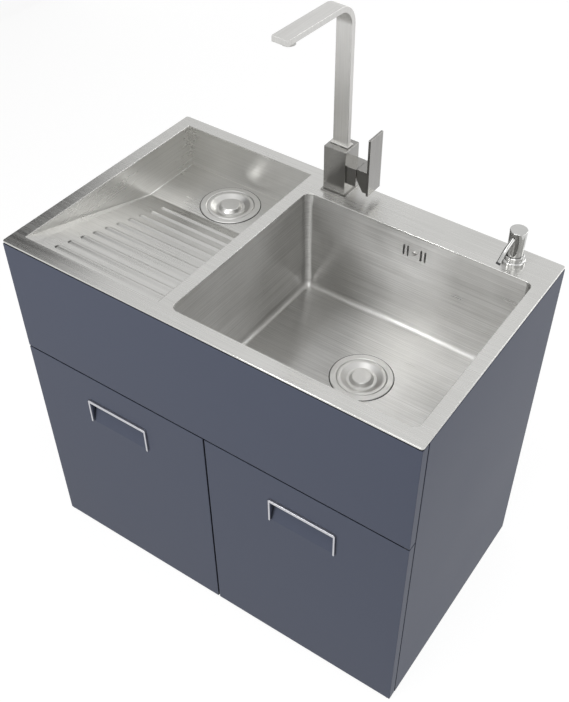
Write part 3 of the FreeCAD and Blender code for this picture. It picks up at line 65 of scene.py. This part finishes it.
IMAGE_WIDTH = 569
IMAGE_HEIGHT = 702
FOCAL_PIXELS = 993.7
CENTRE_PIXEL_X = 350.4
CENTRE_PIXEL_Y = 365.9
CAMERA_SENSOR = 36.0
CAMERA_EYE = (0.7554, -1.0509, 1.7612)
CAMERA_ORBIT = 30.41
CAMERA_TILT = 45.11
CAMERA_ROLL = 2.98


def add_camera():
    data = bpy.data.cameras.new("photo_camera")
    data.sensor_width = CAMERA_SENSOR
    data.lens = FOCAL_PIXELS / IMAGE_HEIGHT * CAMERA_SENSOR
    data.shift_x = (IMAGE_WIDTH / 2 - CENTRE_PIXEL_X) / IMAGE_HEIGHT
    data.shift_y = (CENTRE_PIXEL_Y - IMAGE_HEIGHT / 2) / IMAGE_HEIGHT
    camera = bpy.data.objects.new("photo_camera", data)
    camera.location = CAMERA_EYE
    orbit = Euler((0, 0, math.radians(CAMERA_ORBIT))).to_matrix()
    tilt = Euler((math.radians(CAMERA_TILT), 0, 0)).to_matrix()
    roll = Euler((0, 0, math.radians(CAMERA_ROLL))).to_matrix()
    camera.rotation_euler = (orbit @ tilt @ roll).to_euler()
    SCENE.collection.objects.link(camera)
    SCENE.camera = camera


# Shader building


def new_shader(name):
    material = bpy.data.materials.new(name)
    material.use_nodes = True
    tree = material.node_tree
    return material, tree, tree.nodes["Principled BSDF"]


def add_node(tree, kind, **settings):
    node = tree.nodes.new(kind)
    for key, setting in settings.items():
        setattr(node, key, setting)
    return node


def feed(tree, socket, source):
    """Link an output to a socket, or set the socket to a plain value."""
    if isinstance(source, bpy.types.NodeSocket):
        tree.links.new(source, socket)
    else:
        socket.default_value = source


def vector_math(tree, operation, first, second):
    node = add_node(tree, "ShaderNodeVectorMath", operation=operation)
    feed(tree, node.inputs[0], first)
    feed(tree, node.inputs[1], second)
    return node.outputs["Value" if operation == "DOT_PRODUCT" else "Vector"]


def scalar_math(tree, operation, first, second):
    node = add_node(tree, "ShaderNodeMath", operation=operation)
    feed(tree, node.inputs[0], first)
    feed(tree, node.inputs[1], second)
    return node.outputs[0]


def spread(tree, source, low, high, start=0.0, end=1.0):
    """Map a value between start and end onto low to high."""
    node = add_node(tree, "ShaderNodeMapRange")
    feed(tree, node.inputs["Value"], source)
    node.inputs["From Min"].default_value = start
    node.inputs["From Max"].default_value = end
    node.inputs["To Min"].default_value = low
    node.inputs["To Max"].default_value = high
    return node.outputs["Result"]


def wavering(tree, source, level, share, start=0.0, end=1.0):
    """A level that goes a share of itself down and up with a noise."""
    return spread(tree, source, level * (1 - share), level * (1 + share), start, end)


def blend_colors(tree, factor, first, second):
    node = add_node(tree, "ShaderNodeMixRGB")
    feed(tree, node.inputs["Fac"], factor)
    node.inputs["Color1"].default_value = (*first, 1.0)
    node.inputs["Color2"].default_value = (*second, 1.0)
    return node.outputs["Color"]


def place_of(tree):
    return add_node(tree, "ShaderNodeTexCoord").outputs["Object"]


def noise(tree, place, scale, detail=2.0, roughness=0.5):
    node = add_node(tree, "ShaderNodeTexNoise")
    feed(tree, node.inputs["Vector"], place)
    node.inputs["Scale"].default_value = scale
    node.inputs["Detail"].default_value = detail
    node.inputs["Roughness"].default_value = roughness
    return node.outputs["Fac"]


def bump(tree, shader, height, strength, distance):
    node = add_node(tree, "ShaderNodeBump")
    node.inputs["Strength"].default_value = strength
    node.inputs["Distance"].default_value = distance
    feed(tree, node.inputs["Height"], height)
    tree.links.new(node.outputs["Normal"], shader.inputs["Normal"])


# Brushed metal, with scales in steps per metre and depths in metres

NOISE_SPAN = (0.3, 0.7)
LEVEL_LEAN = 0.05
MARK_DETAIL = 4.0
MARK_RAGGED = 0.65
MARK_DEPTH = 0.0004
BAND_WIDER = 6
BAND_LONGER = 3
SMEAR_SCALE = 7.0
SMEAR_DETAIL = 3.0
SMEAR_ROUGHNESS = 0.03
MARK_TONE_SHARE = 0.5
BAND_TONE_SHARE = 0.12
SMEAR_TONE_SHARE = 0.25


def brush_frame(tree, upright):
    """Unit vectors along and across the brush marks, from the surface normal."""
    normal = add_node(tree, "ShaderNodeNewGeometry").outputs["Normal"]
    level = vector_math(tree, "CROSS_PRODUCT", normal, UP)
    if upright:
        rising = vector_math(tree, "CROSS_PRODUCT", level, normal)
        lean = vector_math(tree, "ADD", rising, (0.0, LEVEL_LEAN, 0.0))
    else:
        lean = vector_math(tree, "ADD", level, (LEVEL_LEAN, 0.0, 0.0))
    along = vector_math(tree, "NORMALIZE", lean, UP)
    across = vector_math(tree, "CROSS_PRODUCT", normal, along)
    return along, across


def brush_marks(tree, along, across, fine, long):
    """Streaks that run long along the brush and change fast across it."""
    place = place_of(tree)
    run = scalar_math(tree, "MULTIPLY", vector_math(tree, "DOT_PRODUCT", place, along), long)
    step = scalar_math(tree, "MULTIPLY", vector_math(tree, "DOT_PRODUCT", place, across), fine)
    joined = add_node(tree, "ShaderNodeCombineXYZ")
    feed(tree, joined.inputs["X"], run)
    feed(tree, joined.inputs["Y"], step)
    return noise(tree, joined.outputs["Vector"], 1.0, detail=MARK_DETAIL, roughness=MARK_RAGGED)


def brushed_tone(tree, marks, bands, smears):
    """How far the colour goes from dark to light."""
    mark_tone = spread(tree, marks, 0.0, MARK_TONE_SHARE, *NOISE_SPAN)
    band_tone = spread(tree, bands, 0.0, BAND_TONE_SHARE, *NOISE_SPAN)
    smear_tone = spread(tree, smears, 0.0, SMEAR_TONE_SHARE, *NOISE_SPAN)
    return scalar_math(tree, "ADD", scalar_math(tree, "ADD", mark_tone, band_tone), smear_tone)


def brushed_metal(
    name, light, dark, roughness, anisotropy, upright=False, fine=800.0, long=5.0, relief=0.02, waver=0.15
):
    """Metal with marks that lie level, or rise where upright is set, and stretch its highlights."""
    material, tree, shader = new_shader(name)
    along, across = brush_frame(tree, upright)
    marks = brush_marks(tree, along, across, fine, long)
    bands = brush_marks(tree, along, across, fine / BAND_WIDER, long / BAND_LONGER)
    smears = noise(tree, place_of(tree), SMEAR_SCALE, detail=SMEAR_DETAIL)
    tone = brushed_tone(tree, marks, bands, smears)
    tree.links.new(blend_colors(tree, tone, dark, light), shader.inputs["Base Color"])
    band_rough = wavering(tree, bands, roughness, waver, *NOISE_SPAN)
    smear_rough = spread(tree, smears, -SMEAR_ROUGHNESS, SMEAR_ROUGHNESS, *NOISE_SPAN)
    tree.links.new(scalar_math(tree, "ADD", band_rough, smear_rough), shader.inputs["Roughness"])
    tree.links.new(across, shader.inputs["Tangent"])
    shader.inputs["Metallic"].default_value = 1.0
    shader.inputs["Anisotropic"].default_value = anisotropy
    bump(tree, shader, marks, relief, MARK_DEPTH)
    return material


# Plain metal

METAL_CLOUD_SCALE = 60.0
METAL_CLOUD_DETAIL = 4.0
METAL_WAVER_SHARE = 0.3
METAL_GRAIN_SCALE = 900.0
METAL_GRAIN_RELIEF = 0.02
METAL_GRAIN_DEPTH = 0.0002


def plain_metal(name, light, dark, roughness):
    material, tree, shader = new_shader(name)
    clouds = noise(tree, place_of(tree), METAL_CLOUD_SCALE, detail=METAL_CLOUD_DETAIL)
    grain = noise(tree, place_of(tree), METAL_GRAIN_SCALE)
    tree.links.new(blend_colors(tree, clouds, dark, light), shader.inputs["Base Color"])
    tree.links.new(wavering(tree, clouds, roughness, METAL_WAVER_SHARE), shader.inputs["Roughness"])
    shader.inputs["Metallic"].default_value = 1.0
    bump(tree, shader, grain, METAL_GRAIN_RELIEF, METAL_GRAIN_DEPTH)
    return material


# Lacquered board, with painted shade inside the gaps between boards

# Reach, range, lowest share and samples of the painted shade in the gaps
GAP_REACH = 0.008
GAP_RANGE = (0.45, 0.85)
GAP_TONE_SHARE = 0.08
GAP_SAMPLES = 8
BOARD_CLOUD_SCALE = 3.0
BOARD_CLOUD_DETAIL = 4.0
BOARD_WAVER_SHARE = 0.1
BOARD_GRAIN_SCALE = 1400.0
BOARD_GRAIN_ROUGHNESS = 0.03
BOARD_GRAIN_RELIEF = 0.04
BOARD_GRAIN_DEPTH = 0.0003


def painted_gap_shade(tree):
    """Painted shade from ambient occlusion: one on an open face, falling to a small share inside a narrow
    gap.
    """
    node = add_node(tree, "ShaderNodeAmbientOcclusion", samples=GAP_SAMPLES)
    node.inputs["Distance"].default_value = GAP_REACH
    return spread(tree, node.outputs["AO"], GAP_TONE_SHARE, 1.0, *GAP_RANGE)


def lacquer(name, light, dark, roughness, gloss):
    material, tree, shader = new_shader(name)
    place = place_of(tree)
    clouds = noise(tree, place, BOARD_CLOUD_SCALE, detail=BOARD_CLOUD_DETAIL)
    grain = noise(tree, place, BOARD_GRAIN_SCALE)
    # The board's colour is multiplied by the painted gap shade.
    paint_with_gap_shade = vector_math(tree, "MULTIPLY", blend_colors(tree, clouds, dark, light), painted_gap_shade(tree))
    tree.links.new(paint_with_gap_shade, shader.inputs["Base Color"])
    cloud_rough = wavering(tree, clouds, roughness, BOARD_WAVER_SHARE)
    grain_rough = spread(tree, grain, -BOARD_GRAIN_ROUGHNESS, BOARD_GRAIN_ROUGHNESS)
    tree.links.new(scalar_math(tree, "ADD", cloud_rough, grain_rough), shader.inputs["Roughness"])
    shader.inputs["Specular IOR Level"].default_value = gloss
    bump(tree, shader, grain, BOARD_GRAIN_RELIEF, BOARD_GRAIN_DEPTH)
    return material


# Plastic and rubber

PLASTIC_CLOUD_SCALE = 18.0
PLASTIC_CLOUD_DETAIL = 3.0
PLASTIC_WAVER_SHARE = 0.15
PLASTIC_GRAIN_SCALE = 1100.0
PLASTIC_GRAIN_DEPTH = 0.0003


def plastic(name, light, dark, roughness, relief=0.05):
    material, tree, shader = new_shader(name)
    place = place_of(tree)
    clouds = noise(tree, place, PLASTIC_CLOUD_SCALE, detail=PLASTIC_CLOUD_DETAIL)
    grain = noise(tree, place, PLASTIC_GRAIN_SCALE)
    tree.links.new(blend_colors(tree, clouds, dark, light), shader.inputs["Base Color"])
    tree.links.new(wavering(tree, grain, roughness, PLASTIC_WAVER_SHARE), shader.inputs["Roughness"])
    bump(tree, shader, grain, relief, PLASTIC_GRAIN_DEPTH)
    return material


# Finishes of the material slots, and of the nodes that differ from their slot

SLOT_MATERIALS = {
    "brushed_sink_steel": brushed_metal(
        "sink_steel",
        light=(0.71, 0.706, 0.69),
        dark=(0.53, 0.527, 0.51),
        roughness=0.27,
        anisotropy=0.9,
    ),
    "polished_drain_steel": brushed_metal(
        "drain_steel",
        light=(0.72, 0.716, 0.70),
        dark=(0.62, 0.616, 0.60),
        roughness=0.38,
        anisotropy=0.3,
        fine=900.0,
        long=60.0,
        relief=0.01,
    ),
    "brushed_nickel": brushed_metal(
        "spout_nickel",
        light=(0.78, 0.775, 0.76),
        dark=(0.54, 0.535, 0.52),
        roughness=0.42,
        anisotropy=0.6,
        upright=True,
    ),
    "dispenser_chrome": plain_metal(
        "dispenser_chrome", light=(0.58, 0.58, 0.57), dark=(0.50, 0.50, 0.49), roughness=0.06
    ),
    "slate_board": lacquer(
        "slate_lacquer", light=(0.098, 0.111, 0.156), dark=(0.088, 0.100, 0.141), roughness=0.45, gloss=0.12
    ),
    "carcass_board": lacquer(
        "carcass_melamine", light=(0.16, 0.175, 0.20), dark=(0.13, 0.145, 0.17), roughness=0.55, gloss=0.3
    ),
    "silver_trim": plain_metal(
        "silver_trim", light=(0.60, 0.60, 0.63), dark=(0.50, 0.50, 0.53), roughness=0.3
    ),
    "black_rubber": plastic(
        "black_rubber", light=(0.022, 0.022, 0.022), dark=(0.014, 0.014, 0.014), roughness=0.75, relief=0.2
    ),
    "black_plastic": plastic(
        "black_plastic", light=(0.03, 0.03, 0.032), dark=(0.02, 0.02, 0.022), roughness=0.5
    ),
    "white_plastic": plastic(
        "white_plastic", light=(0.80, 0.80, 0.78), dark=(0.72, 0.72, 0.70), roughness=0.4
    ),
    "bottle_plastic": plastic(
        "bottle_plastic", light=(0.62, 0.64, 0.65), dark=(0.54, 0.56, 0.57), roughness=0.35
    ),
    "valve_brass": plain_metal(
        "valve_brass", light=(0.72, 0.53, 0.24), dark=(0.58, 0.41, 0.17), roughness=0.28
    ),
    "hardware_steel": plain_metal(
        "zinc_steel", light=(0.62, 0.62, 0.62), dark=(0.48, 0.48, 0.49), roughness=0.35
    ),
    "bush_plastic": plastic(
        "bush_plastic", light=(0.034, 0.034, 0.036), dark=(0.024, 0.024, 0.026), roughness=0.5
    ),
}

BOWL_STEEL = brushed_metal(
    "bowl_steel",
    light=(0.86, 0.855, 0.84),
    dark=(0.36, 0.357, 0.345),
    roughness=0.31,
    anisotropy=1.0,
    waver=0.07,
)
TRAY_STEEL = brushed_metal(
    "tray_steel",
    light=(0.74, 0.736, 0.72),
    dark=(0.46, 0.457, 0.44),
    roughness=0.29,
    anisotropy=0.6,
    long=1.2,
    relief=0.012,
    waver=0.06,
)
# A darker copy of the spout's brushed nickel: its base colour is lowered as painted shade for the dark
# reflections on the faucet body, base plate and lever.
SHADED_BODY_NICKEL = brushed_metal(
    "body_nickel_painted_shade",
    light=(0.38, 0.376, 0.362),
    dark=(0.25, 0.246, 0.238),
    roughness=0.2,
    anisotropy=0.4,
    upright=True,
)
HINGE_STEEL = plain_metal(
    "hinge_steel", light=(0.10, 0.10, 0.105), dark=(0.07, 0.07, 0.075), roughness=0.45
)

NODE_MATERIALS = {
    "main_bowl": BOWL_STEEL,
    "washboard_tray": TRAY_STEEL,
    # The faucet's base plate, body and lever take the nickel darkened with painted shade.
    "faucet_base_plate": SHADED_BODY_NICKEL,
    "faucet_body": SHADED_BODY_NICKEL,
    "lever": SHADED_BODY_NICKEL,
    "left_hinge_plates": HINGE_STEEL,
    "right_hinge_plates": HINGE_STEEL,
}


def dress_nodes():
    for subpart in frame["record"]["subparts"]:
        data = NODES[subpart["node"]].data
        data.materials.clear()
        finish = NODE_MATERIALS.get(subpart["node"], SLOT_MATERIALS[subpart["material_slot"]])
        data.materials.append(finish)


# Building of detail pieces

TURN_STEPS = 64
SAME_POINT = 1e-6


def add_piece(name, points, faces, body, slot):
    """A mesh that rides on a body and takes the finish of a slot."""
    mesh = bpy.data.meshes.new(name)
    mesh.from_pydata(points, [], faces)
    form = bmesh.new()
    form.from_mesh(mesh)
    bmesh.ops.remove_doubles(form, verts=form.verts, dist=SAME_POINT)
    bmesh.ops.recalc_face_normals(form, faces=form.faces)
    form.to_mesh(mesh)
    form.free()
    mesh.materials.append(SLOT_MATERIALS[slot])
    piece = bpy.data.objects.new(name, mesh)
    SCENE.collection.objects.link(piece)
    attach(piece, body)


def add_turned(name, profile, place, axis, body, slot):
    """A closed profile of radius and height, turned about an axis through a place."""
    aim = Vector(axis).to_track_quat("Z", "Y")
    points = []
    faces = []
    count = len(profile)
    for step in range(TURN_STEPS):
        angle = 2 * math.pi * step / TURN_STEPS
        for radius, height in profile:
            local = Vector((radius * math.cos(angle), radius * math.sin(angle), height))
            points.append(Vector(place) + aim @ local)
        near = step * count
        far = (step + 1) % TURN_STEPS * count
        for corner in range(count):
            beyond = (corner + 1) % count
            faces.append((near + corner, far + corner, far + beyond, near + beyond))
    add_piece(name, points, faces, body, slot)


def centre_of(node):
    low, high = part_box(node)
    return (low.x + high.x) / 2, (low.y + high.y) / 2


def drain_centre(prefix):
    return centre_of(prefix + "_drain_cover")


# Pump spring


def add_pump_spring():
    """The pump's spring, as a copy of the spring's mesh that rides on the carcass."""
    piece = bpy.data.objects.new("pump_spring_coil", NODES["pump_spring"].data.copy())
    SCENE.collection.objects.link(piece)
    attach(piece, "carcass")
    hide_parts("pump_spring")
    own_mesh(piece)


# Sealant round the strainer flanges, in black that also paints the shadow line at their edges

FLANGE_THICK = 0.0015
SEAL_INNER = 0.0564
SEAL_OUTER = 0.0578
SEAL_TALL = 0.0008


def add_flange_seals_and_shadow_lines():
    """The lip of sealant round each strainer flange, black so that it also paints the shadow line at the
    flange's edge.
    """
    profile = [
        (SEAL_INNER, 0.0),
        (SEAL_OUTER, 0.0),
        (SEAL_OUTER - SEAL_TALL / 4, SEAL_TALL / 2),
        (SEAL_OUTER - SEAL_TALL, SEAL_TALL),
        (SEAL_INNER, SEAL_TALL),
    ]
    for prefix in ("main", "tray"):
        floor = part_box(prefix + "_strainer_body")[1].z - FLANGE_THICK
        place = (*drain_centre(prefix), floor)
        # Black rubber: a sealant lip and a painted shadow line in one.
        add_turned(prefix + "_flange_seal", profile, place, UP, "carcass", "black_rubber")


# Tip of the dispenser's nozzle

NOZZLE_BEND = (0.31567, 0.1730, 0.7685)
NOZZLE_END = (0.3130, 0.1570, 0.7500)
NOZZLE_RADIUS = 0.0036
TIP_WALL = 0.0004
TIP_LONG = 0.0032
TIP_BORE = 0.0016


def add_nozzle_tip():
    """A black sleeve over the nozzle's end."""
    outer = NOZZLE_RADIUS + TIP_WALL
    profile = [
        (TIP_BORE, TIP_WALL),
        (NOZZLE_RADIUS, TIP_WALL),
        (outer, 0.0),
        (outer, -TIP_LONG + TIP_WALL),
        (outer - TIP_WALL / 2, -TIP_LONG),
        (NOZZLE_RADIUS, -TIP_LONG),
        (NOZZLE_RADIUS, 0.0),
        (TIP_BORE, 0.0),
    ]
    axis = Vector(NOZZLE_END) - Vector(NOZZLE_BEND)
    add_turned("nozzle_tip", profile, NOZZLE_END, axis, "dispenser_head", "black_plastic")


# Insert of the aerator

SCREEN_RADIUS = 0.0098
SCREEN_RISE = 0.0012
SCREEN_STEP = 0.0014
SCREEN_DEEP = 0.0007
SCREEN_LAND_SHARE = 1 / 3
SCREEN_SLOPE_SHARE = 1 / 2
SCREEN_GROOVE_SHARE = 0.9


def add_aerator_screen():
    """The ringed insert in the mouth of the aerator."""
    place = (*centre_of("aerator"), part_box("aerator")[0].z + SCREEN_RISE)
    rings = int(SCREEN_RADIUS / SCREEN_STEP)
    profile = [(0.0, 2 * SCREEN_DEEP), (SCREEN_RADIUS, 2 * SCREEN_DEEP)]
    for number in range(rings):
        radius = SCREEN_RADIUS - number * SCREEN_STEP
        profile.append((radius, 0.0))
        profile.append((radius - SCREEN_STEP * SCREEN_LAND_SHARE, 0.0))
        profile.append((radius - SCREEN_STEP * SCREEN_SLOPE_SHARE, SCREEN_DEEP))
        profile.append((radius - SCREEN_STEP * SCREEN_GROOVE_SHARE, SCREEN_DEEP))
    profile.append((0.0, SCREEN_DEEP))
    add_turned("aerator_screen", profile, place, UP, "spout", "black_plastic")


# Grip ribs of the plastic nuts

GRIP_OUT = 0.0014
GRIP_IN = 0.0006
GRIP_MARGIN = 0.0015
GRIP_SPACING = 0.0075
GRIP_HALF_SHARE = 1 / 5
SLIP_NUT_HALF = 0.011
GRIPPED_NODES = ("main_strainer_nut", "tray_strainer_nut", "dispenser_nut", "trap_cup")


def add_grips(name, centre, radius, low, high):
    """Upright ribs round a nut, each a tapered bar let into its side."""
    count = round(2 * math.pi * radius / GRIP_SPACING)
    half = GRIP_SPACING * GRIP_HALF_SHARE
    section = [
        (radius - GRIP_IN, -half),
        (radius + GRIP_OUT / 2, -half),
        (radius + GRIP_OUT, -half / 2),
        (radius + GRIP_OUT, half / 2),
        (radius + GRIP_OUT / 2, half),
        (radius - GRIP_IN, half),
    ]
    corners = len(section)
    points = []
    faces = []
    for number in range(count):
        turn = Euler((0, 0, 2 * math.pi * number / count)).to_matrix()
        first = len(points)
        for level in (low + GRIP_MARGIN, high - GRIP_MARGIN):
            for out, aside in section:
                points.append(turn @ Vector((out, aside, level)) + Vector((*centre, 0.0)))
        faces.append(range(first, first + corners))
        faces.append(range(first + corners, first + 2 * corners))
        for corner in range(corners):
            beyond = (corner + 1) % corners
            faces.append((first + corner, first + beyond, first + corners + beyond, first + corners + corner))
    add_piece(name, points, faces, "carcass", "white_plastic")


def add_nut_grips():
    for node in GRIPPED_NODES:
        low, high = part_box(node)
        add_grips(node + "_grips", centre_of(node), (high.x - low.x) / 2, low.z, high.z)


def add_slip_nut_grips():
    low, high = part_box("slip_nuts")
    apart = abs(drain_centre("main")[0] - drain_centre("tray")[0])
    radius = (high.x - low.x - apart) / 2
    for prefix in ("main", "tray"):
        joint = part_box(prefix + "_strainer_body")[0].z
        bottom = joint - SLIP_NUT_HALF
        top = joint + SLIP_NUT_HALF
        add_grips(prefix + "_slip_nut_grips", drain_centre(prefix), radius, bottom, top)


def add_details():
    add_pump_spring()
    add_flange_seals_and_shadow_lines()
    add_nozzle_tip()
    add_aerator_screen()
    add_nut_grips()
    add_slip_nut_grips()


# Stage

FLOOR_SIZE = 16.0
FLOOR_GREY = (0.18, 0.18, 0.18)
FLOOR_GLOW = 0.88
CARD_GREY = (0.05, 0.05, 0.05)
CARD_SIDE = -2.2
CARD_FRONT = -0.5
CARD_BACK = 1.6
CARD_TOP = 2.9
STAGE_ROUGHNESS = 0.9


def add_sheet(name, corners, material):
    mesh = bpy.data.meshes.new(name)
    mesh.from_pydata(corners, [], [range(len(corners))])
    mesh.materials.append(material)
    sheet = bpy.data.objects.new(name, mesh)
    SCENE.collection.objects.link(sheet)
    return sheet


def seen_rays(tree):
    """One for rays that show the background: straight, mirrored or through glass."""
    rays = add_node(tree, "ShaderNodeLightPath").outputs
    seen = scalar_math(tree, "MAXIMUM", rays["Is Camera Ray"], rays["Is Glossy Ray"])
    return scalar_math(tree, "MAXIMUM", seen, rays["Is Transmission Ray"])


def matte(name, color):
    material, tree, shader = new_shader(name)
    shader.inputs["Base Color"].default_value = (*color, 1.0)
    shader.inputs["Roughness"].default_value = STAGE_ROUGHNESS
    return material, tree, shader


def add_floor():
    material, tree, shader = matte("pale_floor", FLOOR_GREY)
    shader.inputs["Emission Color"].default_value = (*WHITE, 1.0)
    tree.links.new(spread(tree, seen_rays(tree), 0.0, FLOOR_GLOW), shader.inputs["Emission Strength"])
    reach = FLOOR_SIZE / 2
    corners = [(-reach, -reach, 0.0), (reach, -reach, 0.0), (reach, reach, 0.0), (-reach, reach, 0.0)]
    add_sheet("floor", corners, material)


def add_dark_card():
    """A studio flag on the left, which only shade and mirrors meet."""
    material = matte("dark_card", CARD_GREY)[0]
    corners = [
        (CARD_SIDE, CARD_FRONT, 0.0),
        (CARD_SIDE, CARD_BACK, 0.0),
        (CARD_SIDE, CARD_BACK, CARD_TOP),
        (CARD_SIDE, CARD_FRONT, CARD_TOP),
    ]
    add_sheet("dark_card", corners, material).visible_camera = False


# Sky, a little darker high up in front

SKY_FILL = 0.5
SKY_SHADE = 0.1
SKY_RISE = (0.1, 0.5)
SKY_FRONT_TO_BACK = (0.2, 1.0)


def add_world():
    world = bpy.data.worlds.new("studio")
    SCENE.world = world
    world.use_nodes = True
    tree = world.node_tree
    background = tree.nodes["Background"]
    tree.links.new(spread(tree, seen_rays(tree), SKY_FILL, 1.0), background.inputs["Strength"])
    direction = add_node(tree, "ShaderNodeSeparateXYZ")
    tree.links.new(add_node(tree, "ShaderNodeTexCoord").outputs["Generated"], direction.inputs["Vector"])
    rise = spread(tree, direction.outputs["Z"], 0.0, 1.0, *SKY_RISE)
    front = spread(tree, direction.outputs["Y"], SKY_SHADE, 0.0, *SKY_FRONT_TO_BACK)
    shade = scalar_math(tree, "MULTIPLY", rise, front)
    tree.links.new(blend_colors(tree, shade, WHITE, BLACK), background.inputs["Color"])


# Lamps, each with its place, width, height and watts, all aimed at one point

LAMP_TARGET = (0.0, 0.0, 0.6)
SOFTBOXES = {
    "front_softbox": ((0.1, -2.6, 1.5), 1.2, 2.0, 13.0),
    "front_strip": ((-0.62, -1.8, 1.6), 0.18, 1.0, 9.0),
    "front_right_softbox": ((1.3, -1.5, 2.9), 1.0, 1.0, 8.0),
    "right_softbox": ((2.6, 0.4, 1.4), 1.4, 1.6, 8.0),
    "back_right_softbox": ((1.25, 2.2, 1.5), 1.0, 2.0, 8.0),
    "high_softbox": ((1.25, 1.7, 2.2), 0.4, 0.9, 3.0),
    "top_softbox": ((0.0, -0.9, 2.8), 1.0, 1.0, 7.0),
}


def add_softbox(name, place, width, height, power):
    data = bpy.data.lights.new(name, "AREA")
    data.shape = "RECTANGLE"
    data.size = width
    data.size_y = height
    data.energy = power
    lamp = bpy.data.objects.new(name, data)
    lamp.location = place
    aim = Vector(LAMP_TARGET) - Vector(place)
    lamp.rotation_euler = aim.to_track_quat("-Z", "Y").to_euler()
    SCENE.collection.objects.link(lamp)


def add_lights():
    for name, settings in SOFTBOXES.items():
        add_softbox(name, *settings)


def main():
    add_camera()
    dress_nodes()
    add_details()
    add_floor()
    add_dark_card()
    add_world()
    add_lights()
    SCENE.view_settings.view_transform = "Standard"


main()
